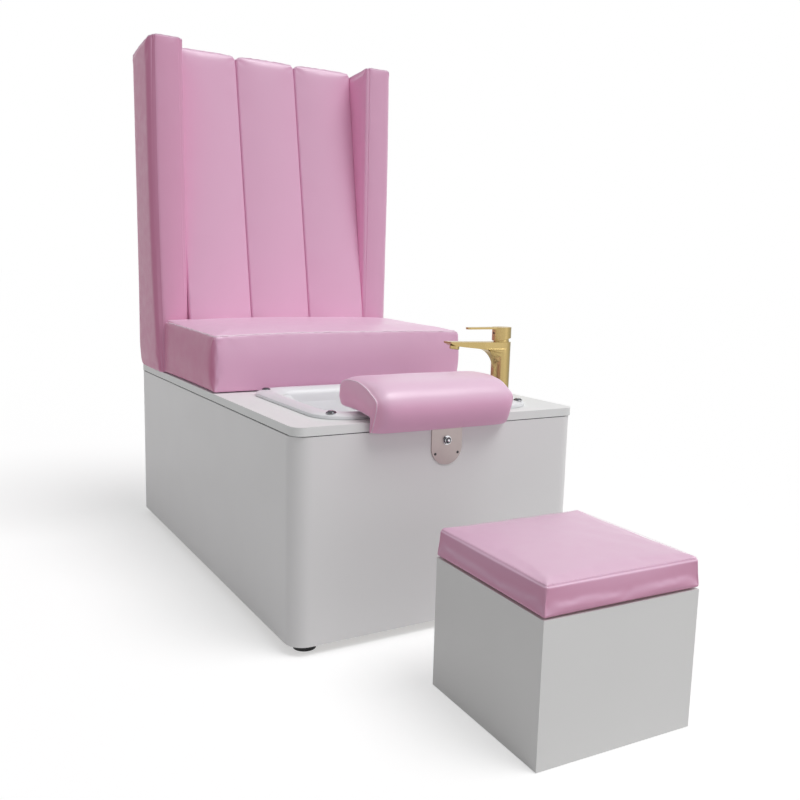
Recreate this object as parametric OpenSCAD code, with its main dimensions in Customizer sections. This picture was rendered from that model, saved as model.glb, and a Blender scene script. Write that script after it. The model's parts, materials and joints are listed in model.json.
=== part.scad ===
// Pedicure spa chair: cabinet with a basin, mixer tap, footrest, winged back and a loose stool.
// Millimetres. +Z is up, the chair faces -Y, and the origin lies on the floor under the middle of
// the set. Chair modules are drawn about the middle of the cabinet's footprint, and stool modules
// about the middle of the stool.

/* [Cabinet] */
// Width of the cabinet
body_w = 712; // [690:1:800]
// Depth of the cabinet
body_d = 1200; // [1190:1:1300]
// Height of the deck's top above the floor
deck_z = 472; // [460:1:520]
// Gap between the floor and the cabinet
foot_h = 20; // [16:1:40]
// Radius of the cabinet's upright corners
corner_r = 40; // [25:1:50]
// Thickness of the cabinet walls
wall = 15; // [12:0.5:18]
// Thickness of the deck slab
deck_t = 18; // [15:1:22]
// Radius of the deck slab's corners
slab_r = 26; // [22:1:36]
// How far the deck's edge stands back from the cabinet face
deck_inset = 1.5; // [0.5:0.5:4]
// Thickness of the dark seal under the deck
seal_t = 2; // [1:0.5:4]
// How far the seal's outer edge stands back from the cabinet face
seal_inset = 3.5; // [2:0.5:6]
// Thickness of the base panel
base_t = 18; // [15:1:25]
// Side of the square corner posts
post_s = 45; // [35:1:60]
// Height of the rails under the deck
rail_h = 40; // [30:1:50]
// Thickness of the rails under the deck
rail_t = 25; // [18:1:35]
// Distance of the levelling feet from the cabinet's outline
foot_inset = 48; // [40:1:80]
// Radius of a levelling foot's pad
foot_r = 24; // [18:1:30]
// Height of a levelling foot's pad
foot_pad_h = 11; // [8:1:13]
// Radius of a levelling foot's stem
foot_stem_r = 5; // [4:0.5:6]

/* [Rear service panel] */
// Width of the rear access panel
panel_w = 420; // [300:1:460]
// Height of the rear access panel
panel_h = 180; // [120:1:190]
// Height of the rear panel's middle above the floor
panel_z = 335; // [320:1:350]
// Thickness of the rear access panel
panel_t = 6; // [4:0.5:9]
// Width of the land that the rear panel is screwed to
panel_land = 16; // [12:1:20]

/* [Basin] */
// Deck left beside the basin's rim on the plain side
basin_left = 83; // [75:1:110]
// Deck left beside the basin's rim on the tap's side
basin_right = 79; // [76:1:84]
// Length of the basin over its rim, front to back
basin_l = 442; // [400:1:446]
// Deck left in front of the rim
basin_front = 43; // [35:1:60]
// Radius of the rim's corners
basin_r = 78; // [70:1:100]
// Height of the rim above the deck
rim_h = 13; // [11:1:14]
// Width of the flat rim
rim_w = 50; // [48:1:60]
// Depth of the bowl below the rim's top
basin_depth = 195; // [150:1:220]
// Thickness of the basin's shell
basin_t = 5; // [4:0.5:7]
// How far each bowl wall leans in on its way down
bowl_slope = 40; // [25:1:50]
// Radius-like step between the bowl's wall and floor
bowl_cove = 28; // [15:1:35]
// Distance of the front rim screws from the rim's edges
cap_inset = 33; // [32:0.5:36]
// Distance of the rear rim screws from the rim's rear edge
cap_inset_rear = 45; // [40:1:50]
// Radius of a chrome rim cap
cap_r = 11; // [9:0.5:11]
// Height of a chrome rim cap
cap_h = 5; // [4:0.5:8]

/* [Drain] */
// Radius of the drain's flange
drain_flange_r = 35; // [32:0.5:38]
// Radius of the drain's threaded tube
drain_r = 22; // [20:0.5:24]
// Radius of the plug's disc
plug_r = 29; // [27:0.5:31]
// How far the plug lifts
plug_lift = 8; // [5:0.5:12]
// Radius of the waste pipe
waste_r = 20; // [16:0.5:20]
// Bend radius of the trap
trap_bend = 42; // [40:1:44]
// Height of the waste outlet above the base panel
waste_up = 112; // [110:1:130]

/* [Tap] */
// Distance of the tap's axis from the cabinet's side
tap_side = 47; // [45:0.1:49]
// Distance of the tap behind the basin's front rim edge
tap_back = 193; // [170:1:230]
// Radius of the tap's column at the deck
tap_r = 23.2; // [22:0.1:23.6]
// Radius of the tap's column at its top
tap_top_r = 24; // [23.6:0.1:24.6]
// Height of the tap's body
tap_h = 134; // [120:1:150]
// Reach of the spout's tip from the tap's axis
spout_reach = 162; // [158:1:170]
// Distance of the aerator from the tap's axis
aerator_reach = 141; // [140:0.5:142]
// Width of the spout
spout_w = 34; // [30:0.5:38]
// Thickness of the spout at its tip
spout_t = 14; // [12:0.5:16]
// Radius of the aerator
aerator_r = 12; // [11:0.25:12.5]
// Radius of the handle's cap
cap_handle_r = 24.1; // [23.8:0.1:25]
// Height of the handle's top above the tap's body
handle_h = 37; // [35:0.5:42]
// Length of the lever from the tap's axis
lever_reach = 106; // [98:1:116]
// Width of the lever
lever_w = 22; // [18:0.5:26]
// Thickness of the lever
lever_t = 5; // [4:0.2:6]
// Length of the tap's mounting stud below the deck
stud_l = 60; // [45:1:80]

/* [Water supply] */
// Distance of the water inlets from the cabinet's side
inlet_side = 88; // [75:1:95]
// Height of the lower water inlet
inlet_z = 170; // [150:1:180]
// Distance between the two water inlets
inlet_gap = 50; // [44:1:60]
// Radius of a supply hose
hose_r = 6; // [5:0.5:6.5]
// Bend radius of a supply hose
hose_bend = 55; // [48:1:70]
// Radius of an inlet's outside thread
inlet_r = 10.48; // [9:0.01:12]
// Length of an inlet's outside thread
inlet_l = 15; // [12:0.5:17]
// How far the waste spigot stands out of the cabinet
outlet_reach = 22; // [20:0.5:26]

/* [Footrest] */
// Width of the footrest cushion
rest_w = 340; // [300:1:380]
// Sideways place of the footrest cushion
rest_x = -24; // [-30:1:0]
// Reach of the cushion behind the cabinet's front face
rest_back = 132; // [125:1:145]
// Reach of the cushion in front of the cabinet's front face
rest_front = 28; // [26:0.5:34]
// Height of the cushion's top above the deck at its ends
rest_top = 74; // [68:1:80]
// Extra height of the cushion at its middle, as a share of its half thickness
rest_crown = 0.04; // [0:0.02:0.1]
// How far the cushion's body swells out past the outline of its ends
rest_puff = 14; // [8:0.5:17]
// How far the front lip hangs below the deck's top
rest_lip = 19; // [14:0.5:24]
// Width of the bracket plate
plate_w = 77; // [60:1:90]
// Sideways place of the bracket plate
plate_x = -4; // [-10:1:0]
// Thickness of the bracket plate
plate_t = 2.5; // [2:0.1:3]
// Drop of the bracket's rounded end below the deck's top
plate_drop = 102; // [95:1:115]
// Height of the bracket's flat leg above the deck
leg_z = 16.5; // [16.2:0.1:17]
// Length of the bracket's flat leg over the deck
leg_l = 100; // [90:1:110]
// Thickness of the footrest's board
rest_board_t = 12; // [9:0.5:15]

/* [Seat] */
// Distance of the seat cushion's front behind the cabinet's front face
seat_front = 490; // [486:1:520]
// Height of the seat cushion's edge
seat_t = 140; // [120:1:160]
// Crown of the seat cushion
seat_crown = 15; // [8:1:22]
// Inset of the seat cushion from the cabinet's side
seat_side = 1; // [0:0.5:4]
// Thickness of the seat's board
seat_board_t = 12; // [9:0.5:18]

/* [Back] */
// Place of the wings' front edge at the deck, behind the cabinet's middle
wing_y = 333; // [326:1:340]
// How far a wing's front edge leans back at its top
wing_lean = 15; // [8:1:30]
// Height of a wing's front edge above the deck
wing_h = 921; // [860:1:960]
// Drop of a wing's top towards the rear
wing_fall = 15; // [5:1:25]
// Distance of a wing's rear edge from the cabinet's rear face at the deck
wing_rear = 2; // [2:0.5:8]
// How far a wing's rear edge leans in at its top
wing_taper = 26; // [15:1:35]
// Thickness of a wing
wing_t = 82; // [78:1:86]
// Distance of a wing's outer face from the cabinet side at the deck
wing_side = -3; // [-5:0.5:0]
// Splay of the wings, in degrees
wing_splay = 0.76; // [0.4:0.02:1.2]
// Thickness of a wing's board
wing_board_t = 18; // [12:1:22]
// Place of the back board's face at the deck, behind the cabinet's middle
back_y = 327; // [325:1:335]
// Lean of the back panel, in degrees
back_lean = 10.15; // [8:0.05:11]
// Height of the back's inner frame above the deck
back_h = 900; // [850:1:930]
// How far the channel cushions rise over the back's inner frame
channel_rise = 22; // [18:1:24]
// Width of the middle channel cushion
channel_w = 186; // [150:1:210]
// Thickness of a channel cushion at its edge
channel_t = 20; // [16:0.5:24]
// Crown of a channel cushion
channel_crown = 15; // [8:0.5:20]
// Thickness of the back board
back_board_t = 12; // [9:1:18]
// Thickness of the rear cover
rear_cover_t = 10; // [6:0.5:14]
// Thickness of the pad on top of the back
top_pad_t = 12; // [8:0.5:14]
// Thickness of a back rib
rib_t = 18; // [12:1:25]
// Distance of a rib from the chair's middle
rib_x = 150; // [100:1:200]

/* [Stool] */
// Width of the stool
stool_w = 330; // [280:1:400]
// Depth of the stool
stool_d = 324; // [280:1:400]
// Height of the stool's box
stool_h = 252; // [200:1:320]
// Thickness of the stool's walls
stool_wall = 15; // [12:0.5:18]
// Gap between the chair's front face and the stool's middle
stool_gap = 382; // [370:1:500]
// Turn of the stool, in degrees
stool_turn = -2.3; // [-4:0.1:0]
// Height of the stool cushion's edge over the box
stool_cushion_t = 57; // [45:1:70]
// Crown of the stool cushion
stool_crown = 6; // [2:0.5:12]
// Dark gap between the stool's box and its cushion
stool_slot = 3; // [2:0.5:5]
// Thickness of the stool's lid board
lid_t = 12; // [9:0.5:15]

/* [Hidden] */

$fn = 48;
eps = 0.01;      // overlap that makes cuts clean
fit = 0.3;       // clearance round a soft or wooden piece that is slipped in
run = 0.05;      // radial clearance of a running fit
screw_gap = 0.3; // radial clearance of a screw or bolt in its hole

white = [0.93, 0.93, 0.94];
pink = [0.86, 0.63, 0.76];
timber = [0.78, 0.64, 0.45];
steel = [0.72, 0.72, 0.74];
chrome = [0.83, 0.84, 0.86];
gold = [0.78, 0.66, 0.42];
black = [0.08, 0.08, 0.09];

// The set's place: its box is centred on the origin.
stool_half = stool_d / 2 * cos(stool_turn) + stool_w / 2 * abs(sin(stool_turn));
set_rear = body_d / 2 + outlet_reach;
set_front = -body_d / 2 - stool_gap - stool_half;
chair_y = -(set_rear + set_front) / 2;
stool_y = chair_y - body_d / 2 - stool_gap;

front_y = -body_d / 2;
rear_y = body_d / 2;
inner_w = body_w - 2 * wall;
inner_d = body_d - 2 * wall;
slab_z = deck_z - deck_t;             // underside of the deck slab
shell_top = slab_z - seal_t;
base_top = foot_h + base_t;
waste_z = base_top + waste_up;

basin_w = body_w - basin_left - basin_right;
basin_x = (basin_left - basin_right) / 2;
basin_y = front_y + basin_front + basin_l / 2;
rim_top = deck_z + rim_h;
bowl_w = basin_w - 2 * rim_w;         // bowl at the rim
bowl_l = basin_l - 2 * rim_w;
bowl_r = basin_r - 8;
floor_z = rim_top - basin_depth;      // inside of the bowl's floor
under_z = floor_z - basin_t;
cut_gap = 3;                          // gap between the bowl and the deck's cut-out
screw_r = 2.2;
rail_wing = 88;                       // middle rail in front of the wings
rail_rear = 130;                      // rear rail in front of the rear face

tap_x = body_w / 2 - tap_side;
tap_y = front_y + basin_front + tap_back;
gasket_t = 1.5;
tap_z = deck_z + gasket_t;            // foot of the tap's body
tap_top = tap_z + tap_h;
pivot_z = tap_top + 1;                // the lever's tilt axis
cartridge_r = 17;
chamber_d = 40;                       // depth of the cartridge chamber
cover_r = 19.5;                       // radius of the dome, centred on the pivot
cover_h = 11;                         // top of the dome above the pivot
cover_bore = 13;
rotor_r = 11.9;
rotor_h = 11;
ear_t = 4;
ear_gap = 0.5;
stem_r = 4.5;
stem_drop = 9;                        // stem below the pivot
pin_r = 1.5;
handle_top = tap_top + handle_h;
ceiling_z = pivot_z + cover_h + 6;    // inside of the handle's cap
cap_bore = cover_r + 0.7;
stem_top = ceiling_z + 12;
set_screw_z = ceiling_z + 4;
set_screw_r = 2.5;
plug_t = 3;
hose_side = 9;                        // each hose's offset from the tap's axis
hose_x = 4;
stud_x = -11;
stud_r = 4;
tap_hole_r = 17;
clamp_t = 3;
clamp_r = min(tap_hole_r + 8, tap_side - wall - 1);   // kept off the cabinet's wall
hose_top = tap_z + 10;

inlet_x = body_w / 2 - inlet_side;
hose_run = rear_y - wall - tap_y - hose_side;
hose_turn = atan((tap_x + hose_x - inlet_x) / hose_run);

plate_y = front_y - plate_t;
bolt_r = 5;
bolt_z = deck_z - 49;
small_screw_z = deck_z - 77.5;
small_screw_x = 28.5;
leg_top = deck_z + leg_z + plate_t;
rest_screw_x = 25;
rest_screw_y = [35, 80];
rest_board_w = 280;
rest_board_d = 88;

seat_y0 = front_y + seat_front;
seat_y1 = wing_y - 1;
seat_half = body_w / 2 - seat_side;
seat_mid_y1 = back_y - 23;            // rear of the seat in front of the channel cushions

wing_in = body_w / 2 - wing_side - wing_t;    // a wing's inner face at the deck
wing_y1 = rear_y - wing_rear;
wing_lift = wing_t * sin(wing_splay) + 0.15;  // keeps the splayed foot off the deck
rear_taper = atan(wing_taper / (wing_h - wing_fall));
back_len = back_h / cos(back_lean);
top_half = wing_in + back_h * tan(wing_splay);
side_gap = 0.6;                               // between the back's pieces and the wings

lid_gap = 1;                                  // round the lid's locating blocks
lid_rim = 10;                                 // cushion left round the lid board

module at_chair() translate([0, chair_y, 0]) children();
module at_stool() translate([0, stool_y, 0]) rotate([0, 0, stool_turn]) children();
module at_basin() at_chair() translate([basin_x, basin_y, 0]) children();
module at_tap(z = 0) at_chair() translate([tap_x, tap_y, z]) children();
module at_back() at_chair() translate([0, back_y, deck_z]) rotate([90 - back_lean, 0, 0]) children();

// A flat outline with round corners.
module rounded(w, d, r) {
    square([w - 2 * r, d], center = true);
    square([w, d - 2 * r], center = true);
    for (x = [-1, 1], y = [-1, 1]) translate([x * (w / 2 - r), y * (d / 2 - r)]) circle(r);
}

module plate(w, d, r, z0, z1) translate([0, 0, z0]) linear_extrude(z1 - z0) rounded(w, d, r);

module corners(x, y) for (i = [-1, 1], j = [-1, 1]) translate([i * x, j * y, 0]) children();

module ring(r1, r0, z0, z1) translate([0, 0, z0]) difference() {
    cylinder(r = r1, h = z1 - z0);
    translate([0, 0, -1]) cylinder(r = r0, h = z1 - z0 + 2);
}

// A domed cap: a slice of a ball of base radius r and height h.
module dome(r, h) {
    ball = (r * r + h * h) / (2 * h);
    rotate_extrude() intersection() {
        translate([0, h - ball]) circle(ball, $fn = 288);
        square([r, h]);
    }
}

// ---- soft forms -------------------------------------------------------------------------------

// One ring of a cushion: a round-cornered rectangle of half sizes a and b, with n steps to a
// corner and m to a side.
function pad_ring(a, b, r, n, m) =
    let (q = max(min(r, a - 0.5, b - 0.5), 0.2), x = a - q, y = b - q)
    [for (k = [0 : 3])
        let (sx = (k == 0 || k == 3) ? 1 : -1, sy = k < 2 ? 1 : -1)
        for (i = [0 : n + m - 1])
            i <= n
            ? [sx * x + q * cos(90 * (k + i / n)), sy * y + q * sin(90 * (k + i / n))]
            : let (s = 1 - 2 * (i - n) / m)
              k == 0 ? [x * s, b] : k == 1 ? [-a, y * s] : k == 2 ? [-x * s, -b] : [a, -y * s]];

// Inset and height of each ring: round foot, straight side, round shoulder, then the crown.
function pad_profile(t, crown, r0, r1, half) = concat(
    [for (i = [0 : 2]) let (w = 45 * i) [r0 * (1 - sin(w)), r0 * (1 - cos(w))]],
    [for (i = [0 : 3]) let (w = 30 * i) [r1 * (1 - cos(w)), t - r1 * (1 - sin(w))]],
    [for (i = [1 : 4]) let (s = i / 4.4) [r1 + (half - r1) * s, t + crown * sin(90 * i / 4)]]);

// A cushion over the plan q, its four corners anticlockwise from the low left one. It has a flat
// underside at z = 0, edge height t and a crown. Its sides are drawn in between the corners.
module pad(q, t, crown, r_plan, r0, r1, draw, n = 2, m = 3) {
    a = (norm(q[1] - q[0]) + norm(q[2] - q[3])) / 4;
    b = (norm(q[3] - q[0]) + norm(q[2] - q[1])) / 4;
    rows = pad_profile(t, crown, r0, r1, min(a, b));
    k = 4 * (n + m);
    function place(p) =
        let (x = p[0] * (1 - draw / a * (1 - pow(p[1] / b, 2))),
             y = p[1] * (1 - draw / b * (1 - pow(p[0] / a, 2))),
             u = (x / a + 1) / 2, v = (y / b + 1) / 2)
        q[0] * (1 - u) * (1 - v) + q[1] * u * (1 - v) + q[2] * u * v + q[3] * (1 - u) * v;
    rings = [for (w = rows)
        for (p = pad_ring(a - w[0], b - w[0], r_plan - w[0] / 2, n, m)) concat(place(p), w[1])];
    last = len(rows) - 1;
    middle = place([0, 0]);
    points = concat(rings, [concat(middle, 0), concat(middle, t + crown)]);
    faces = concat(
        [for (i = [0 : last - 1], j = [0 : k - 1]) let (j1 = (j + 1) % k)
            each [[i * k + j, (i + 1) * k + j, (i + 1) * k + j1], [i * k + j, (i + 1) * k + j1, i * k + j1]]],
        [for (j = [0 : k - 1]) [(last + 1) * k, j, (j + 1) % k]],
        [for (j = [0 : k - 1]) [(last + 1) * k + 1, last * k + (j + 1) % k, last * k + j]]);
    polyhedron(points, faces);
}

// The footrest's end outline, as pairs of an outer and an inner point from its back to its lip. The
// first number is the distance in front of the cabinet face, the second the height over the deck.
rest_under = leg_z + plate_t + 0.5;
rest_pairs = [
    [[-rest_back, 44], [-rest_back, rest_under + 10]],
    [[-rest_back + 3, rest_top - 13], [-rest_back + 4, rest_under + 2]],
    [[-rest_back + 16, rest_top - 4], [-rest_back + 15, rest_under]],
    [[-rest_back + 38, rest_top], [-rest_back + 38, rest_under]],
    [[-56, rest_top], [-62, rest_under]],
    [[-26, rest_top - 6], [-36, rest_under]],
    [[0, rest_top - 17], [-14, rest_under]],
    [[rest_front - 3, 44], [plate_t + 1.5, rest_under]],
    [[rest_front - 1, 30], [plate_t + 4.5, 12]],
    [[rest_front - 7, 15], [plate_t + 4, 3]],
    [[rest_front - 13, 4 - rest_lip / 2], [plate_t + 3.5, -rest_lip / 2]],
    [[rest_front - 19, 1 - rest_lip], [plate_t + 3, -rest_lip]]
];

// Its stations along the width: place as a share of the half width, and edge rounding.
rest_stations = [[-1, 0.92], [-0.985, 1], [-0.95, 1], [-0.88, 1], [-0.7, 1], [-0.35, 1], [0, 1],
    [0.35, 1], [0.7, 1], [0.88, 1], [0.95, 1], [0.985, 1], [1, 0.92]];

// Direction of the swelling at the outer point i: across the outline, less at the two ends of it.
rest_last = len(rest_pairs) - 1;
function rest_out(i) =
    let (a = i == 0 ? rest_pairs[0][1] : rest_pairs[i - 1][0],
         b = i == rest_last ? rest_pairs[i][1] : rest_pairs[i + 1][0],
         d = i == rest_last ? [0.6, -0.15] : [a[1] - b[1], b[0] - a[0]] / norm(b - a))
    d * (i == 0 ? 0.4 : i == 1 ? 0.75 : 1);

function rest_section(x, s) =
    let (swell = 1 + rest_crown * (1 - x * x), n = len(rest_pairs), puff = rest_puff * (1 - pow(x, 16)))
    [for (i = [0 : 2 * n - 1])
        let (pair = rest_pairs[i < n ? i : 2 * n - 1 - i],
             mid = (pair[0] + pair[1]) / 2,
             p = i < n ? mid + (pair[0] - mid) * s * swell + rest_out(i) * puff
                       : mid + (pair[1] - mid) * s)
        [rest_x + x * rest_w / 2, front_y - p[0], deck_z + p[1]]];

module rest_form() {
    k = 2 * len(rest_pairs);
    last = len(rest_stations) - 1;
    points = [for (s = rest_stations) each rest_section(s[0], s[1])];
    function cap(base, side) = [for (j = [0 : k / 2 - 2])
        each side > 0
            ? [[base + j, base + j + 1, base + k - 1 - j], [base + j + 1, base + k - 2 - j, base + k - 1 - j]]
            : [[base + j, base + k - 1 - j, base + j + 1], [base + j + 1, base + k - 1 - j, base + k - 2 - j]]];
    polyhedron(points, concat(
        [for (i = [0 : last - 1], j = [0 : k - 1]) let (j1 = (j + 1) % k)
            each [[i * k + j, i * k + j1, (i + 1) * k + j1], [i * k + j, (i + 1) * k + j1, (i + 1) * k + j]]],
        cap(0, -1), cap(last * k, 1)));
}

// ---- cabinet ----------------------------------------------------------------------------------

module cabinet_shell() color(white) at_chair() difference() {
    plate(body_w, body_d, corner_r, foot_h, shell_top);
    plate(inner_w, inner_d, corner_r - wall, foot_h - 1, shell_top + 1);
    translate([0, rear_y - panel_t / 2 + eps, panel_z])
        cube([panel_w + 2 * fit, panel_t + 2 * eps, panel_h + 2 * fit], center = true);
    translate([0, rear_y - wall / 2, panel_z])
        cube([panel_w - 2 * panel_land, wall + 2, panel_h - 2 * panel_land], center = true);
    panel_screw_places() rotate([90, 0, 0]) cylinder(r = screw_r, h = 3 * wall, center = true);
    translate([plate_x, front_y, bolt_z])
        rotate([90, 0, 0]) cylinder(r = bolt_r + screw_gap, h = 3 * wall, center = true);
    small_screw_places() rotate([-90, 0, 0]) translate([0, 0, -1]) cylinder(r = 1.6, h = 10);
    inlet_places() rotate([90, 0, 0]) cylinder(r = inlet_r + screw_gap, h = 3 * wall, center = true);
    translate([basin_x, rear_y, waste_z])
        rotate([90, 0, 0]) cylinder(r = waste_r + screw_gap, h = 3 * wall, center = true);
}

module panel_screw_places() for (x = [-1, 1], z = [-1, 1])
    translate([x * (panel_w - panel_land) / 2, rear_y, panel_z + z * (panel_h - panel_land) / 2]) children();

module inlet_places() for (i = [0, 1]) translate([inlet_x, rear_y, inlet_z + i * inlet_gap]) children();

module base_panel() color(timber) at_chair() difference() {
    plate(inner_w, inner_d, corner_r - wall, foot_h, base_top);
    foot_places() translate([0, 0, foot_h - 1]) cylinder(r = foot_stem_r, h = base_t + 2);
}

module foot_places() corners(body_w / 2 - foot_inset, body_d / 2 - foot_inset) children();

module corner_posts() color(timber) at_chair() intersection() {
    plate(inner_w, inner_d, corner_r - wall, base_top, slab_z);
    corners((inner_w - post_s) / 2, (inner_d - post_s) / 2) translate([0, 0, (base_top + slab_z) / 2])
        cube([post_s, post_s, slab_z - base_top], center = true);
}

module deck_rails() color(timber) at_chair()
    for (y = [basin_y + basin_l / 2 + rail_t, wing_y - rail_wing, rear_y - rail_rear])
        translate([0, y, slab_z - rail_h / 2]) cube([inner_w, rail_t, rail_h], center = true);

module rear_access_panel() color(white) at_chair() difference() {
    translate([0, rear_y - panel_t / 2, panel_z]) cube([panel_w, panel_t, panel_h], center = true);
    panel_screw_places() rotate([90, 0, 0]) cylinder(r = screw_r + screw_gap, h = 3 * wall, center = true);
}

// Screw with a low head, its seat at z = 0 and its shank down to -l.
module pan_screw(r, head_r, head_h, l) {
    translate([0, 0, -l]) cylinder(r = r, h = l + eps);
    rotate_extrude() intersection() {
        translate([0, head_h - head_r * 1.6]) circle(head_r * 1.6);
        square([head_r, head_h]);
    }
}

module panel_screws() color(steel) at_chair()
    panel_screw_places() rotate([-90, 0, 0]) pan_screw(screw_r, 4, 2, wall - 1);

module foot_pads() color(black) at_chair() foot_places() difference() {
    union() {
        cylinder(r = foot_r, h = foot_pad_h - 3);
        translate([0, 0, foot_pad_h - 3]) cylinder(r1 = foot_r, r2 = foot_r - 6, h = 3);
    }
    translate([0, 0, 3]) cylinder(r = foot_stem_r, h = foot_pad_h);
}

module foot_stems() color(steel) at_chair() foot_places()
    translate([0, 0, 3]) cylinder(r = foot_stem_r, h = base_top - 3);

module foot_nuts() color(steel) at_chair() foot_places() difference() {
    translate([0, 0, foot_pad_h]) cylinder(r = foot_stem_r * 1.85, h = foot_h - foot_pad_h, $fn = 6);
    cylinder(r = foot_stem_r, h = foot_h + 1);
}

module deck_seal() color(black) at_chair() difference() {
    plate(body_w - 2 * seal_inset, body_d - 2 * seal_inset, corner_r - seal_inset, shell_top, slab_z);
    plate(inner_w, inner_d, corner_r - wall, shell_top - 1, slab_z + 1);
}

module deck_slab() color(white) difference() {
    at_chair() plate(body_w - 2 * deck_inset, body_d - 2 * deck_inset, slab_r, slab_z, deck_z);
    at_basin() plate(bowl_w + 2 * (basin_t + cut_gap), bowl_l + 2 * (basin_t + cut_gap),
        bowl_r + basin_t + cut_gap, slab_z - 1, deck_z + 1);
    at_tap(slab_z - 1) cylinder(r = tap_hole_r, h = deck_t + 2);
    rim_screw_places() translate([0, 0, deck_z - 12]) cylinder(r = screw_r, h = 20);
}

// ---- basin and waste --------------------------------------------------------------------------

module rim_screw_places() at_basin() for (x = [-1, 1], y = [0, 1])
    translate([x * (basin_w / 2 - cap_inset), (y == 0 ? cap_inset : basin_l - cap_inset_rear) - basin_l / 2, 0])
        children();

// The bowl as a solid, grown by g on every side and reaching up to z = top.
module bowl(g, top) {
    shelf = floor_z + bowl_cove;
    module slice(inset, z) translate([0, 0, z]) linear_extrude(eps)
        rounded(bowl_w + 2 * (g - inset), bowl_l + 2 * (g - inset), bowl_r + g - inset / 2, $fn = 32);
    hull() {
        slice(0, top - eps);
        slice(bowl_slope, shelf - g);
    }
    hull() {
        slice(bowl_slope, shelf - g);
        slice(bowl_slope + bowl_cove, floor_z - g);
    }
}

module basin() color(white) difference() {
    union() {
        at_basin() plate(basin_w, basin_l, basin_r, deck_z, rim_top - 3);
        at_basin() plate(basin_w - 4, basin_l - 4, basin_r - 2, rim_top - 3 - eps, rim_top);
        at_basin() bowl(basin_t, deck_z + eps);
    }
    at_basin() bowl(0, rim_top + eps);
    at_basin() translate([0, 0, under_z - 1]) cylinder(r = drain_r + fit, h = basin_t + 2);
    rim_screw_places() translate([0, 0, deck_z - 1]) cylinder(r = screw_r, h = rim_h + 2);
}

module rim_screws() color(steel) rim_screw_places()
    translate([0, 0, rim_top]) pan_screw(screw_r, 4.5, 2, rim_h + 11);

module rim_caps() color(chrome) rim_screw_places() translate([0, 0, rim_top]) difference() {
    dome(cap_r, cap_h);
    translate([0, 0, -1]) cylinder(r = 5, h = 3.5);
}

module drain_body() color(chrome) at_basin() {
    difference() {
        union() {
            translate([0, 0, floor_z]) cylinder(r = drain_flange_r, h = 2);
            translate([0, 0, under_z - 45]) cylinder(r = drain_r, h = 45 + basin_t + eps);
        }
        translate([0, 0, under_z - 46]) cylinder(r = drain_r - 3, h = 70);
    }
    difference() {
        union() {
            translate([0, 0, floor_z - 18]) cylinder(r = 8, h = 10);
            for (a = [0, 60, 120]) rotate([0, 0, a]) translate([0, 0, floor_z - 14])
                cube([2 * drain_r - 4, 3, 6], center = true);
        }
        translate([0, 0, floor_z - 30]) cylinder(r = 4, h = 30);
    }
}

module drain_washer() color(black) at_basin() ring(drain_flange_r - 3, drain_r, under_z - 3, under_z);

module drain_nut() color(steel) at_basin() ring(drain_flange_r - 3, drain_r, under_z - 13, under_z - 3);

module drain_plug() color(chrome) at_basin() {
    translate([0, 0, floor_z + 2]) dome(plug_r, 4);
    translate([0, 0, floor_z - 28]) cylinder(r = 4 - run, h = 31);
}

// Half or quarter bend of a tube, from +X round towards +Y, about the Z axis.
module bend(radius, tube_r, bore_r, angle) rotate_extrude(angle = angle)
    translate([radius, 0]) difference() {
        circle(tube_r);
        circle(bore_r);
    }

module tube(r, bore_r, l) difference() {
    cylinder(r = r, h = l);
    translate([0, 0, -1]) cylinder(r = bore_r, h = l + 2);
}

trap_t = 2;
trap_low = waste_z - trap_bend;      // middle of the U-bend's ends
module waste_trap() color(black) at_basin() {
    // inlet leg with its coupling round the drain's tube
    translate([0, 0, trap_low]) tube(waste_r, waste_r - trap_t, under_z - 45 - trap_low);
    translate([0, 0, under_z - 50]) tube(drain_r + 5, drain_r, 25);
    translate([0, 0, under_z - 50 - 5]) tube(drain_r + 5, waste_r, 5);
    // U-bend towards the rear
    translate([0, trap_bend, trap_low]) rotate([90, 0, -90]) bend(trap_bend, waste_r, waste_r - trap_t, -180);
    // outlet elbow
    translate([0, 3 * trap_bend, trap_low]) rotate([90, 0, -90])
        bend(trap_bend, waste_r, waste_r - trap_t, 90);
}

pipe_y0 = basin_y + 3 * trap_bend;
module waste_pipe() color(white) at_chair() translate([basin_x, pipe_y0, waste_z])
    rotate([-90, 0, 0]) tube(waste_r, waste_r - trap_t, rear_y - wall - 20 - pipe_y0);

module waste_outlet() color(black) at_chair() translate([basin_x, rear_y, waste_z]) rotate([-90, 0, 0]) {
    translate([0, 0, -wall - 20]) tube(waste_r, waste_r - trap_t, wall + 20 + outlet_reach);
    translate([0, 0, -wall - 30]) tube(waste_r + 4, waste_r, 25);
    tube(waste_r + 6, waste_r, 3);
}

// ---- tap --------------------------------------------------------------------------------------

// Side outline of the spout: distance from the tap's axis, and height.
blend_out = 61;                        // where the blend under the spout ends
blend_drop = 64;                       // how far the blend runs down the column
blend_steps = 5;
tip_back = 15;                         // length of the slanted face under the spout's tip
tip_t = 4;                             // thickness of the spout's very tip
seat_l = 30;                           // length of the face that the aerator sits on
seat_tilt = 7;
spout_tip = [spout_reach, tap_h + 3];
blend_top = tap_h - 17;
spout_low = spout_tip[1] - spout_t;
spout_outline = [[0, tap_h], [tap_top_r, tap_h], spout_tip, spout_tip - [0.5, tip_t],
    [spout_reach - tip_back, spout_low + seat_l * tan(seat_tilt)],
    [spout_reach - tip_back - seat_l, spout_low], [blend_out, blend_top], [0, blend_top]];

// The spout points along -X. It is as wide as the column where it leaves it.
module spout_plan() {
    hull() {
        circle(tap_top_r - 0.3, $fn = 32);
        translate([-blend_out, -spout_w / 2]) square([1, spout_w]);
    }
    translate([-spout_reach - 1, -spout_w / 2]) square([spout_reach, spout_w]);
}

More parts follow.
